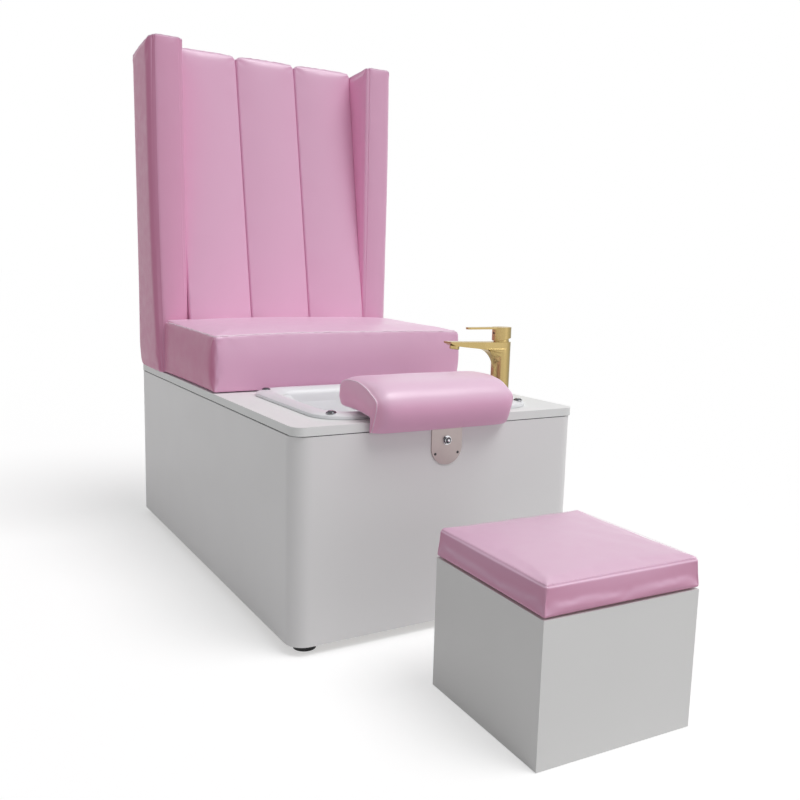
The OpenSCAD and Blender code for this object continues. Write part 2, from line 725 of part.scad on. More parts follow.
module spout_arm() intersection() {
    translate([0, spout_w, 0]) rotate([90, 0, 0]) mirror([1, 0, 0]) linear_extrude(2 * spout_w)
        polygon(spout_outline);
    linear_extrude(tap_h + 10) spout_plan();
}

// A level cut through the blend under the spout, from step 0 at its top to its foot on the column.
module blend_slice(i) {
    w = 90 * i / blend_steps;
    z = blend_top - (blend_drop - 17) * (1 - cos(w));
    reach = blend_out - (blend_out - tap_r) * sin(w);
    width = spout_w * sqrt(max(0, (reach - tap_r) / (blend_out - tap_r))) + 1;
    translate([0, 0, z]) linear_extrude(eps) {
        circle(tap_r + (tap_top_r - tap_r) * z / tap_h - 0.3, $fn = 32);
        translate([-reach, -width / 2]) square([1, width]);
    }
}

module spout_blend() for (i = [0 : blend_steps - 1]) hull() {
    blend_slice(i);
    blend_slice(i + 1);
}

waterway_z = tap_h - 5;
module tap_body() color(gold) at_tap(tap_z) difference() {
    union() {
        cylinder(r1 = tap_r, r2 = tap_top_r, h = tap_h);
        spout_arm();
        spout_blend();
    }
    translate([0, 0, tap_h - chamber_d]) cylinder(r = cartridge_r, h = chamber_d + 1);
    translate([waterway_end - aerator_reach, 0, waterway_z]) rotate([0, 90, 0]) cylinder(r = 3, h = aerator_reach - cartridge_r + 2 - waterway_end);
    aerator_place() translate([0, 0, -1]) cylinder(r = aerator_r / 2, h = 1 + insert_t + 0.3);
    for (y = [-1, 1]) translate([hose_x, y * hose_side, -1]) cylinder(r = hose_r, h = tap_h - chamber_d + 2);
    translate([stud_x, 0, -1]) cylinder(r = stud_r, h = 16);
}

waterway_end = 5;                      // the waterway ends behind the aerator's axis
insert_t = 2;                          // how far the aerator reaches into the spout
aerator_z = spout_low + (aerator_reach - spout_reach + tip_back + seat_l) * tan(seat_tilt) - run / cos(seat_tilt);
module aerator_place() translate([-aerator_reach, 0, aerator_z]) rotate([0, seat_tilt, 0]) children();

module tap_gasket() color(black) at_tap() ring(tap_r + 1, tap_hole_r, deck_z, tap_z);

module aerator() color(gold) at_tap(tap_z) aerator_place() difference() {
    union() {
        translate([0, 0, -8]) cylinder(r1 = aerator_r - 1.2, r2 = aerator_r, h = 1.5);
        translate([0, 0, -6.5]) cylinder(r = aerator_r, h = 6.5);
        translate([0, 0, -eps]) cylinder(r = aerator_r / 2 - run, h = insert_t);
    }
    translate([0, 0, -9]) cylinder(r = aerator_r - 3, h = 7);
    translate([0, 0, -3]) cylinder(r = aerator_r / 2 - 2, h = 7);
}

module cartridge() color(white) at_tap(tap_top) difference() {
    translate([0, 0, -chamber_d]) cylinder(r = cartridge_r, h = chamber_d);
    translate([0, 0, -rotor_h]) cylinder(r = rotor_r + run, h = rotor_h + 1);
    for (y = [-1, 1]) translate([hose_x, y * hose_side, -chamber_d - 1]) cylinder(r = hose_r - 2, h = 20);
}

module cartridge_cover() color(gold) at_tap(pivot_z) difference() {
    intersection() {
        sphere(cover_r, $fn = 64);
        translate([0, 0, tap_top - pivot_z]) cylinder(r = cover_r + 1, h = cover_h + pivot_z - tap_top);
    }
    translate([0, 0, -5]) cylinder(r = cover_bore, h = cover_h + 10);
}

module cartridge_rotor() color(white) at_tap(tap_top) difference() {
    union() {
        translate([0, 0, -rotor_h]) cylinder(r = rotor_r, h = rotor_h);
        for (y = [-1, 1]) translate([0, y * (stem_r + ear_gap + ear_t / 2), 2.5])
            cube([10, ear_t, 5 + 2 * eps], center = true);
    }
    translate([0, 0, 1 - stem_drop / 2])
        cube([2 * (stem_r + stem_drop * tan(24)), 2 * (stem_r + ear_gap), stem_drop + 2], center = true);
    translate([0, 0, pivot_z - tap_top]) rotate([90, 0, 0]) cylinder(r = pin_r + run, h = 40, center = true);
}

module lever_stem() color(steel) at_tap(pivot_z) difference() {
    translate([0, 0, -stem_drop + 0.5]) cylinder(r = stem_r, h = stem_top - pivot_z + stem_drop - 0.5);
    rotate([90, 0, 0]) cylinder(r = pin_r, h = 4 * stem_r, center = true);
}

module stem_pin() color(steel) at_tap(pivot_z) rotate([90, 0, 0])
    cylinder(r = pin_r, h = 2 * (stem_r + ear_gap + ear_t), center = true);

handle_cut = atan(9 / (2 * cap_handle_r));   // slope of the cap's lower edge
module handle() color(gold) at_tap(0) difference() {
    union() {
        translate([0, 0, tap_top + 3]) cylinder(r = cap_handle_r, h = handle_top - tap_top - 3);
        translate([-lever_reach, 0, handle_top - lever_t]) linear_extrude(lever_t) polygon([
            [4, -lever_w / 2 + 2], [0, -lever_w / 2 + 6], [0, lever_w / 2 - 6], [4, lever_w / 2 - 2],
            [lever_reach, lever_w / 2 + 1], [lever_reach, -lever_w / 2 - 1]]);
    }
    difference() {
        translate([0, 0, tap_top]) cylinder(r = cap_bore, h = ceiling_z - tap_top);
        translate([0, 0, ceiling_z - 1]) cylinder(r = stem_r + 3, h = 2);
    }
    translate([0, 0, tap_top]) cylinder(r = stem_r, h = stem_top - tap_top);
    translate([-cap_handle_r, 0, tap_top + 3]) rotate([0, -handle_cut, 0])
        translate([-5, -40, -40]) cube([80, 80, 40]);
    translate([0, 0, set_screw_z]) rotate([0, -90, 0]) cylinder(r = set_screw_r, h = 2 * cap_handle_r);
}

module handle_screw() color(black) at_tap(set_screw_z) rotate([0, -90, 0])
    translate([0, 0, stem_r]) cylinder(r = set_screw_r, h = 10);

module handle_plug() color(black) at_tap(set_screw_z) rotate([0, -90, 0])
    translate([0, 0, cap_handle_r - plug_t]) cylinder(r = set_screw_r, h = plug_t + 0.6);

module tap_stud() color(steel) at_tap() translate([stud_x, 0, slab_z - stud_l])
    cylinder(r = stud_r, h = stud_l + deck_t + gasket_t + 15);

module tap_clamp() color(steel) at_tap(slab_z - clamp_t) difference() {
    cylinder(r = clamp_r, h = clamp_t);
    translate([stud_x, 0, -1]) cylinder(r = stud_r + screw_gap, h = clamp_t + 2);
    translate([hose_x - hose_r - 1, -hose_side - hose_r - 0.5, -1])
        cube([60, 2 * (hose_side + hose_r + 0.5), clamp_t + 2]);
}

module tap_nut() color(steel) at_tap(slab_z - clamp_t - 7) translate([stud_x, 0, 0]) difference() {
    cylinder(r = stud_r * 1.8, h = 7, $fn = 6);
    translate([0, 0, -1]) cylinder(r = stud_r, h = 9);
}

// Hose that hangs from the tap, bends and runs to an inlet at height z.
module hose(y, z) translate([tap_x + hose_x, tap_y + y, 0]) rotate([0, 0, hose_turn]) {
    translate([0, 0, z + hose_bend]) cylinder(r = hose_r, h = hose_top - z - hose_bend);
    translate([0, hose_bend, z + hose_bend]) rotate([90, 0, -90])
        rotate_extrude(angle = -90) translate([hose_bend, 0]) circle(hose_r);
    translate([0, hose_bend, z]) rotate([-90, 0, 0])
        cylinder(r = hose_r, h = (rear_y - wall - 12 - tap_y - y) / cos(hose_turn) - hose_bend);
}

module supply_hoses() color(steel) at_chair() {
    hose(hose_side, inlet_z + inlet_gap);
    hose(-hose_side, inlet_z);
}

module water_inlets() color(chrome) at_chair() inlet_places() rotate([-90, 0, 0]) difference() {
    union() {
        translate([0, 0, -wall - 12 + 0.4]) cylinder(r = inlet_r, h = wall + 12 + outlet_reach - 2 - 0.4);
        cylinder(r = inlet_r + 6, h = outlet_reach - 2 - inlet_l, $fn = 6);
    }
    translate([0, 0, -wall - 13]) cylinder(r = hose_r - 1.5, h = wall + 20 + outlet_reach);
}

// ---- footrest ---------------------------------------------------------------------------------

module small_screw_places() for (x = [-1, 1])
    translate([plate_x + x * small_screw_x, front_y, small_screw_z]) children();

module rest_screw_places() for (x = [-1, 1], y = rest_screw_y)
    translate([plate_x + x * rest_screw_x, front_y + y, deck_z + leg_z]) children();

module footrest_bracket() color(steel) at_chair() difference() {
    union() {
        translate([plate_x, front_y, deck_z - plate_drop + plate_w / 2]) rotate([90, 0, 0])
            cylinder(r = plate_w / 2, h = plate_t);
        translate([plate_x - plate_w / 2, plate_y, deck_z - plate_drop + plate_w / 2])
            cube([plate_w, plate_t, plate_drop - plate_w / 2 + leg_z + plate_t]);
        translate([plate_x - plate_w / 2, plate_y, deck_z + leg_z]) cube([plate_w, leg_l + plate_t, plate_t]);
    }
    translate([plate_x, front_y, bolt_z])
        rotate([90, 0, 0]) cylinder(r = bolt_r + screw_gap, h = 3 * wall, center = true);
    small_screw_places() rotate([90, 0, 0]) cylinder(r = 1.9, h = 3 * wall, center = true);
    rest_screw_places() cylinder(r = screw_r, h = 4 * plate_t, center = true);
}

module rest_board_blank(g) translate([rest_x - rest_board_w / 2 - g, front_y + 16 - g, leg_top])
    cube([rest_board_w + 2 * g, rest_board_d + 2 * g, rest_board_t + g]);

module footrest_board() color(timber) at_chair() difference() {
    rest_board_blank(0);
    rest_screw_places() cylinder(r = screw_r, h = plate_t + rest_board_t - 2);
}

module footrest_cushion() color(pink) at_chair() difference() {
    rest_form();
    rest_board_blank(0);
    translate([0, 0, -rest_board_t]) rest_board_blank(0);
}

module footrest_screws() color(steel) at_chair() rest_screw_places() rotate([180, 0, 0])
    pan_screw(screw_r, 4.5, 2.5, plate_t + rest_board_t - 3);

module bracket_bolt() color(chrome) at_chair() translate([plate_x, plate_y, bolt_z]) rotate([90, 0, 0]) {
    cylinder(r = 10, h = 1.5);
    translate([0, 0, 1.5]) cylinder(r = 8.6, h = 4, $fn = 6);
    translate([0, 0, 5.5]) dome(7, 3);
    translate([0, 0, -wall - plate_t - 12]) cylinder(r = bolt_r, h = wall + plate_t + 13);
}

module bracket_nut() color(steel) at_chair() translate([plate_x, front_y + wall, bolt_z]) rotate([-90, 0, 0])
    difference() {
        cylinder(r = 9, h = 8, $fn = 6);
        translate([0, 0, -1]) cylinder(r = bolt_r, h = 10);
    }

module bracket_screws() color(black) at_chair() small_screw_places()
    translate([0, -plate_t, 0]) rotate([90, 0, 0]) pan_screw(1.6, 3, 1.4, plate_t + 8);

// ---- seat and back ----------------------------------------------------------------------------

seat_plan = [[-seat_half, seat_y0], [seat_half, seat_y0], [seat_half, seat_y1], [-seat_half, seat_y1]];
ear_room = 2.6;                         // between a side channel and the seat's ear
seat_pocket = 26;                       // cushion left round the seat board
module seat_board_blank(h) translate([-seat_half + seat_pocket, seat_y0 + seat_pocket, deck_z])
    cube([2 * (seat_half - seat_pocket), seat_mid_y1 - seat_y0 - 2 * seat_pocket, h]);

module seat_board() color(timber) at_chair() seat_board_blank(seat_board_t);

module seat_cushion() color(pink) at_chair() difference() {
    translate([0, 0, deck_z]) pad(seat_plan, seat_t, seat_crown, 14, 5, 14, 2, m = 5);
    translate([0, 0, -1]) seat_board_blank(seat_board_t + 1);
    // room for the channel cushions between the seat's two ears
    translate([0, back_y, deck_z]) rotate([90 - back_lean, 0, 0])
        translate([-wing_in - ear_room, -60, -60])
            cube([2 * (wing_in + ear_room), 330, 60 + channel_t + channel_crown + 0.5]);
}

// A wing's side outline: distance behind the cabinet's middle, and height over the deck.
wing_plan = [[wing_y, wing_lift], [wing_y1, wing_lift],
    [wing_y1 - wing_taper, wing_h - wing_fall], [wing_y + wing_lean, wing_h]];
wing_pocket = 26;                       // padding left round a wing's board
wing_board_plan = [[wing_y + wing_pocket, wing_lift - 0.3], [wing_y1 - wing_pocket, wing_lift - 0.3],
    [wing_y1 - wing_taper - wing_pocket, wing_h - wing_fall - wing_pocket],
    [wing_y + wing_lean + wing_pocket, wing_h - wing_pocket]];

module at_wing() at_chair() translate([wing_in, 0, deck_z]) rotate([0, wing_splay, 0]) rotate([90, 0, 90]) children();

module wing_board_blank(low) translate([0, 0, (wing_t - wing_board_t) / 2]) linear_extrude(wing_board_t)
    polygon(concat(low > 0 ? [wing_board_plan[0] - [0, low], wing_board_plan[1] - [0, low]] : [],
        [wing_board_plan[1], wing_board_plan[2], wing_board_plan[3], wing_board_plan[0]]));

module wing_pad() color(pink) at_wing() difference() {
    pad(wing_plan, wing_t - 5, 5, 24, 8, 20, 0, n = 2, m = 3);
    wing_board_blank(10);
}

module wing_pad_right() wing_pad();
module wing_pad_left() mirror([1, 0, 0]) wing_pad();

module wing_boards() color(timber) for (s = [0, 1]) mirror([s, 0, 0]) at_wing() wing_board_blank(0);

board_foot = back_board_t * tan(back_lean);   // keeps the leaning board on the deck
module back_board() color(timber) at_back() translate([0, 0, -back_board_t]) linear_extrude(back_board_t)
    polygon([[-wing_in + side_gap, board_foot], [wing_in - side_gap, board_foot],
        [top_half - side_gap, back_len], [-top_half + side_gap, back_len]]);

channel_len = back_len + channel_rise;
channel_gap = 0.3;
channel_top = wing_in + channel_len * cos(back_lean) * tan(wing_splay);
module channel(q) color(pink) at_back() pad(q, channel_t, channel_crown, 12, 1, 15, 0, m = 4);

module back_channel_middle() channel([[-channel_w / 2, 3], [channel_w / 2, 3],
    [channel_w / 2, channel_len], [-channel_w / 2, channel_len]]);

module back_channel_right() channel([[channel_w / 2 + channel_gap, 3], [wing_in - side_gap, 3],
    [channel_top - side_gap, channel_len], [channel_w / 2 + channel_gap, channel_len]]);

module back_channel_left() mirror([1, 0, 0]) back_channel_right();

// Front and rear lines of the back's inner frame at a height over the deck.
function rib_front(h) = back_y + back_board_t / cos(back_lean) + h * tan(back_lean);
function rib_rear(h) = wing_y1 - rear_cover_t / cos(rear_taper) - h * tan(rear_taper);

module back_ribs() color(timber) at_chair() for (x = [-1, 1])
    translate([x * rib_x - rib_t / 2, 0, deck_z]) rotate([90, 0, 90]) linear_extrude(rib_t)
        polygon([[rib_front(0), 0], [rib_rear(0), 0], [rib_rear(back_h), back_h], [rib_front(back_h), back_h]]);

cover_len = back_h / cos(rear_taper);
module rear_cover() color(pink) at_chair() translate([0, wing_y1, deck_z]) rotate([90 + rear_taper, 0, 0])
    linear_extrude(rear_cover_t) polygon([[-wing_in + side_gap, 0.4], [wing_in - side_gap, 0.4],
        [top_half - side_gap, cover_len], [-top_half + side_gap, cover_len]]);

top_y0 = back_y + (back_h + top_pad_t) * tan(back_lean) + 0.4;
top_y1 = wing_y1 - (back_h + top_pad_t) * tan(rear_taper);
module back_top_pad() color(pink) at_chair() translate([0, 0, deck_z + back_h])
    pad([[-top_half + side_gap, top_y0], [top_half - side_gap, top_y0],
        [top_half - side_gap, top_y1], [-top_half + side_gap, top_y1]], top_pad_t - 2, 2, 4, 1, 5, 0);

angle_l = 40;
angle_t = 4;
angle_front = 30;                     // an angle behind a rib's front edge
angle_rear = 70;                      // an angle in front of a rib's rear edge
module back_angles() color(steel) at_chair() for (x = [-1, 1], y = [rib_front(0) + angle_front, rib_rear(0) - angle_rear])
    translate([x * (rib_x - rib_t / 2), y, deck_z]) mirror([x > 0 ? 1 : 0, 0, 0]) {
        cube([angle_l, angle_l, angle_t]);
        cube([angle_t, angle_l, angle_l]);
    }

// ---- stool ------------------------------------------------------------------------------------

module stool_box() color(white) at_stool() difference() {
    translate([-stool_w / 2, -stool_d / 2, 0]) cube([stool_w, stool_d, stool_h]);
    translate([-stool_w / 2 + stool_wall, -stool_d / 2 + stool_wall, lid_t])
        cube([stool_w - 2 * stool_wall, stool_d - 2 * stool_wall, stool_h]);
}

module lid_blank(h) translate([-stool_w / 2 + lid_rim, -stool_d / 2 + lid_rim, stool_h])
    cube([stool_w - 2 * lid_rim, stool_d - 2 * lid_rim, h]);

block_s = 30;
block_h = 12;
module stool_lid_board() color(timber) at_stool() {
    lid_blank(lid_t);
    corners(stool_w / 2 - stool_wall - lid_gap - block_s / 2, stool_d / 2 - stool_wall - lid_gap - block_s / 2)
        translate([0, 0, stool_h - block_h / 2]) cube([block_s, block_s, block_h + 2 * eps], center = true);
}

module stool_cushion() color(pink) at_stool() difference() {
    translate([0, 0, stool_h + stool_slot]) pad([[-stool_w / 2, -stool_d / 2], [stool_w / 2, -stool_d / 2],
        [stool_w / 2, stool_d / 2], [-stool_w / 2, stool_d / 2]],
        stool_cushion_t - stool_slot, stool_crown, 14, 3, 9, 3, m = 5);
    lid_blank(lid_t);
}

cabinet_shell();
base_panel();
corner_posts();
deck_rails();
rear_access_panel();
panel_screws();
foot_pads();
foot_stems();
foot_nuts();
deck_seal();
deck_slab();
basin();
rim_screws();
rim_caps();
drain_body();
drain_washer();
drain_nut();
drain_plug();
waste_trap();
waste_pipe();
waste_outlet();
tap_body();
tap_gasket();
aerator();
cartridge();
cartridge_cover();
cartridge_rotor();
lever_stem();
stem_pin();
handle();
handle_screw();
handle_plug();
tap_stud();
tap_clamp();
tap_nut();
supply_hoses();
water_inlets();
footrest_bracket();
footrest_board();
footrest_cushion();
footrest_screws();
bracket_bolt();
bracket_nut();
bracket_screws();
seat_board();
seat_cushion();
wing_boards();
wing_pad_left();
wing_pad_right();
back_board();
back_channel_left();
back_channel_middle();
back_channel_right();
back_ribs();
rear_cover();
back_top_pad();
back_angles();
stool_box();
stool_lid_board();
stool_cushion();
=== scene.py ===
"""Pedicure spa chair: the finished surfaces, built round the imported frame. Lengths are in
millimetres in the chair's or the stool's own coordinates until chair() and stool() turn them into
the frame's metres."""
import json
import math

import bpy
import numpy as np
from mathutils import Matrix, Vector


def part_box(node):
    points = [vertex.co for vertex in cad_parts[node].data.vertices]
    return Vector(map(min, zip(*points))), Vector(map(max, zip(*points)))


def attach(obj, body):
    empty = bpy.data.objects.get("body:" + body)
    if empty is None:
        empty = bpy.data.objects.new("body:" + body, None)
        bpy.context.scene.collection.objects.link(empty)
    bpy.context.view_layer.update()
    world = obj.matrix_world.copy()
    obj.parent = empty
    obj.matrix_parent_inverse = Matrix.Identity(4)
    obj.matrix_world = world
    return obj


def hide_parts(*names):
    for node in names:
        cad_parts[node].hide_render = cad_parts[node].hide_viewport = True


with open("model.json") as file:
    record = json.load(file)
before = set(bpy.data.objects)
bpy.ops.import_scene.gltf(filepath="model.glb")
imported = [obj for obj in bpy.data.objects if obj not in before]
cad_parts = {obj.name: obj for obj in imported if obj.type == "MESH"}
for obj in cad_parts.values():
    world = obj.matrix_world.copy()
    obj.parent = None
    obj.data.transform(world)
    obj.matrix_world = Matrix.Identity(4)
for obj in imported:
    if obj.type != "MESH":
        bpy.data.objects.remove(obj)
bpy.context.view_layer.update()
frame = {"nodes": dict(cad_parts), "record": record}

MM = 0.001
scene = bpy.context.scene
nodes = frame["nodes"]
record = frame["record"]


# ---- places ------------------------------------------------------------------------------------

def mid(node):
    lo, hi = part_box(node)
    return [(lo[i] + hi[i]) / 2 for i in range(3)]


CHAIR_Y = mid("cabinet_shell")[1]
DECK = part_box("deck_slab")[1][2] / MM
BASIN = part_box("basin")
STOOL = mid("stool_box")
STOOL_TURN = math.radians(-2.3)
STOOL_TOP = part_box("stool_box")[1][2] / MM


def chair(p):
    """Points in the chair's millimetres to the frame's metres."""
    q = np.array(p, float) * MM
    q[:, 1] += CHAIR_Y
    return q


def stool(p):
    """Points in the stool's millimetres to the frame's metres."""
    c, s = math.cos(STOOL_TURN), math.sin(STOOL_TURN)
    q = np.array(p, float) * MM
    x, y = q[:, 0].copy(), q[:, 1].copy()
    q[:, 0] = c * x - s * y + STOOL[0]
    q[:, 1] = s * x + c * y + STOOL[1]
    return q


# ---- materials ---------------------------------------------------------------------------------

def material(name, color, roughness, metallic=0.0, **inputs):
    mat = bpy.data.materials.new(name)
    mat.use_nodes = True
    bsdf = mat.node_tree.nodes["Principled BSDF"]
    bsdf.inputs["Base Color"].default_value = (*color, 1)
    bsdf.inputs["Roughness"].default_value = roughness
    bsdf.inputs["Metallic"].default_value = metallic
    for key, value in inputs.items():
        bsdf.inputs[key.replace("_", " ")].default_value = value
    return mat


class Graph:
    """Short calls for building a material's nodes."""

    def __init__(self, mat):
        self.tree = mat.node_tree
        self.bsdf = self.tree.nodes["Principled BSDF"]
        self.coords = self.node("ShaderNodeTexCoord").outputs["Object"]

    def node(self, kind, **values):
        made = self.tree.nodes.new(kind)
        for key, value in values.items():
            if hasattr(made, key):
                setattr(made, key, value)
            else:
                made.inputs[key.replace("_", " ")].default_value = value
        return made

    def link(self, a, b):
        self.tree.links.new(a, b)

    def facing(self):
        """The world normal's parts, as X, Y and Z."""
        parts = self.node("ShaderNodeSeparateXYZ")
        self.link(self.node("ShaderNodeNewGeometry").outputs["Normal"], parts.inputs[0])
        return parts.outputs

    def stretched(self, scale):
        m = self.node("ShaderNodeMapping")
        m.inputs["Scale"].default_value = scale
        self.link(self.coords, m.inputs["Vector"])
        return m.outputs["Vector"]

    def noise(self, scale, detail=3.0, vector=None):
        n = self.node("ShaderNodeTexNoise")
        n.inputs["Scale"].default_value = scale
        n.inputs["Detail"].default_value = detail
        self.link(vector or self.coords, n.inputs["Vector"])
        return n.outputs["Fac"]

    def cells(self, scale, feature="F1"):
        n = self.node("ShaderNodeTexVoronoi")
        n.feature = feature
        n.inputs["Scale"].default_value = scale
        self.link(self.coords, n.inputs["Vector"])
        return n.outputs["Distance"]

    def spread(self, value, low, high, a=0.35, b=0.65):
        """Turns a to b of the value into low to high."""
        n = self.node("ShaderNodeMapRange")
        for key, v in (("From Min", a), ("From Max", b), ("To Min", low), ("To Max", high)):
            n.inputs[key].default_value = v
        self.link(value, n.inputs["Value"])
        return n.outputs["Result"]

    def blend(self, fac, c1, c2):
        n = self.node("ShaderNodeMix")
        n.data_type = "RGBA"
        n.inputs["A"].default_value = (*c1, 1)
        n.inputs["B"].default_value = (*c2, 1)
        self.link(fac, n.inputs["Factor"])
        return n.outputs["Result"]

    def add(self, a, b, weight=1.0):
        """a plus weight times b."""
        n = self.node("ShaderNodeMath")
        n.operation = "MULTIPLY_ADD"
        self.link(b, n.inputs[0])
        n.inputs[1].default_value = weight
        self.link(a, n.inputs[2])
        return n.outputs[0]

    def bump(self, height, strength, distance):
        n = self.node("ShaderNodeBump")
        n.inputs["Strength"].default_value = strength
        n.inputs["Distance"].default_value = distance
        self.link(height, n.inputs["Height"])
        self.link(n.outputs["Normal"], self.bsdf.inputs["Normal"])

    def color(self, c):
        self.link(c, self.bsdf.inputs["Base Color"])

    def rough(self, r):
        self.link(r, self.bsdf.inputs["Roughness"])


def leather(name, side, top, roughness, left=None):
    """Coated leather with painted light in its colour: paler the more it faces up, a painted sheen,
    and, where left is given, of that colour on faces to the left, as painted shade where it is
    darker and painted light where it is lighter."""
    mat = material(name, side, roughness, Specular_IOR_Level=0.1)
    g = Graph(mat)
    parts = g.facing()
    mottle = g.spread(g.add(g.noise(7.0, 2.0), g.noise(420.0, 2.0), 0.25), -0.04, 0.04, 0.45, 0.8)
    # painted sheen: the colour turns from side to the paler top as the face turns up, with a random mottle
    shown = g.blend(g.add(mottle, g.spread(parts["Z"], 0.0, 1.0, 0.0, 0.6)), side, top)
    if left:
        # painted shade and light: faces to the left take the left colour
        share = tuple(a / b for a, b in zip(left, side))
        painted_left_light = g.blend(g.spread(parts["X"], 1.0, 0.0, -0.95, -0.45), (1, 1, 1), share)
        n = g.node("ShaderNodeMix", data_type="RGBA", blend_type="MULTIPLY")
        n.inputs["Factor"].default_value = 1.0
        g.link(shown, n.inputs["A"])
        g.link(painted_left_light, n.inputs["B"])
        shown = n.outputs["Result"]
    g.color(shown)
    g.link(g.spread(parts["Z"], 0.1, 0.7, 0.2, 0.7), g.bsdf.inputs["Specular IOR Level"])
    g.rough(g.spread(g.noise(35.0, 3.0), roughness - 0.04, roughness + 0.05))
    grain = g.cells(950.0, "DISTANCE_TO_EDGE")
    g.bump(g.add(g.add(grain, g.noise(2200.0, 2.0), 0.35), g.noise(38.0, 2.0), 2.2), 0.35, 0.00022)
    return mat


def panel(name, c, roughness, marks=0.008):
    mat = material(name, c, roughness, Specular_IOR_Level=0.5)
    g = Graph(mat)
    darker = tuple(v - marks for v in c)
    lighter = tuple(v + marks for v in c)
    g.color(g.blend(g.spread(g.noise(2.5, 4.0), 0.0, 1.0), darker, lighter))
    g.rough(g.spread(g.noise(14.0, 4.0), roughness - 0.02, roughness + 0.03))
    g.bump(g.noise(300.0, 2.0), 0.05, 0.0001)
    return mat


def metal(name, c, roughness, brushed=None, strength=0.04):
    mat = material(name, c, roughness, 1.0)
    g = Graph(mat)
    along = g.stretched(brushed) if brushed else None
    fine = g.noise(900.0 if brushed is None else 1.0, 3.0, along)
    g.rough(g.spread(fine, roughness * 0.9, roughness * 1.1))
    darker = tuple(v * 0.98 for v in c)
    lighter = tuple(min(1, v * 1.02) for v in c)
    g.color(g.blend(g.spread(g.noise(30.0, 3.0), 0.0, 1.0), darker, lighter))
    g.bump(fine, strength, 0.00003)
    return mat


def gold(name, c, painted_dark_reflection):
    """Brushed champagne gold, darker on faces that turn to the right, a painted dark reflection."""
    mat = metal(name, c, 0.26, (900.0, 900.0, 20.0), 0.03)
    g = Graph(mat)
    parts = g.facing()
    # painted dark reflection: the colour darkens as the face turns to the right
    g.color(g.blend(g.spread(parts["X"], 0.0, 1.0, 0.0, 0.55), c, painted_dark_reflection))
    return mat


def chrome(name):
    """Polished chrome with a painted reflection of a dark room: light on the faces square to an axis, dark on
    the slopes.
    """
    mat = metal(name, (0.5, 0.5, 0.52), 0.1)
    g = Graph(mat)
    parts = g.facing()
    steepest = None
    for axis in "XYZ":
        size = g.node("ShaderNodeMath")
        size.operation = "ABSOLUTE"
        g.link(parts[axis], size.inputs[0])
        if steepest is None:
            steepest = size.outputs[0]
        else:
            most = g.node("ShaderNodeMath")
            most.operation = "MAXIMUM"
            g.link(steepest, most.inputs[0])
            g.link(size.outputs[0], most.inputs[1])
            steepest = most.outputs[0]
    # painted reflection: dark on sloping faces, light on faces square to an axis
    g.color(g.blend(g.spread(steepest, 0.0, 1.0, 0.93, 0.985), (0.10, 0.10, 0.11), (0.72, 0.72, 0.74)))
    return mat


def dull(name, c, roughness, scale=600.0, lift=0.35):
    mat = material(name, c, roughness)
    g = Graph(mat)
    darker = tuple(v * (1 - lift) for v in c)
    lighter = tuple(v * (1 + lift) for v in c)
    g.color(g.blend(g.spread(g.noise(40.0, 4.0), 0.0, 1.0), darker, lighter))
    g.rough(g.spread(g.noise(scale / 4, 3.0), roughness - 0.06, roughness + 0.06))
    g.bump(g.noise(scale, 3.0), 0.2, 0.0002)
    return mat


def wood(name):
    mat = material(name, (0.5, 0.36, 0.22), 0.6)
    g = Graph(mat)
    rings = g.node("ShaderNodeTexWave")
    rings.inputs["Scale"].default_value = 12.0
    rings.inputs["Distortion"].default_value = 3.0
    rings.inputs["Detail"].default_value = 3.0
    g.link(g.stretched((1.0, 0.15, 1.0)), rings.inputs["Vector"])
    g.color(g.blend(rings.outputs["Fac"], (0.42, 0.29, 0.17), (0.58, 0.43, 0.27)))
    g.rough(g.spread(g.noise(80.0), 0.52, 0.68))
    g.bump(g.noise(300.0, 3.0, g.stretched((1.0, 0.1, 1.0))), 0.2, 0.0002)
    return mat


def braid(name):
    mat = material(name, (0.55, 0.55, 0.56), 0.35, 0.9)
    g = Graph(mat)
    weave = g.cells(700.0)
    g.color(g.blend(g.spread(weave, 0.0, 1.0, 0.1, 0.7), (0.62, 0.62, 0.63), (0.3, 0.3, 0.31)))
    g.rough(g.spread(g.noise(200.0), 0.28, 0.42))
    g.bump(weave, 0.5, 0.0004)
    return mat


# the pale pink is the leather's colour on faces that turn up, a painted sheen
PINK, PAINTED_SHEEN_PINK = (0.84, 0.47, 0.66), (0.86, 0.58, 0.75)
LEATHER_ROUGH = 0.33

MATERIALS = {
    "pink_leather": leather("leather_pink", PINK, PAINTED_SHEEN_PINK, LEATHER_ROUGH),
    "cabinet_white": panel("panel_white", (0.84, 0.83, 0.835), 0.36),
    "deck_white": panel("deck_white", (0.85, 0.86, 0.855), 0.45),
    "basin_white": panel("acrylic_white", (0.84, 0.85, 0.87), 0.33, 0.004),
    # the stool's white laminate is a darker copy of the cabinet's, a painted shade
    "stool_white": panel("panel_stool_painted_shade", (0.79, 0.785, 0.78), 0.38),
    "soft_gold": gold("brass_champagne", (0.53, 0.395, 0.17), (0.27, 0.205, 0.075)),
    "bright_chrome": chrome("chrome_bright"),
    # the plate's steel is a dark pinkish colour, a painted reflection of pink and dark surroundings
    "brushed_plate": metal("steel_brushed_painted_reflection", (0.42, 0.36, 0.35), 0.32, (40.0, 900.0, 900.0), 0.08),
    "zinc_steel": metal("steel_zinc", (0.6, 0.6, 0.61), 0.36),
    "braided_hose": braid("hose_braid"),
    "black_rubber": dull("rubber_black", (0.022, 0.022, 0.024), 0.6),
    "black_plastic": dull("plastic_black", (0.03, 0.03, 0.032), 0.45),
    "white_plastic": dull("plastic_white", (0.78, 0.78, 0.76), 0.4, 300.0, 0.03),
    "timber": wood("timber_ply"),
}
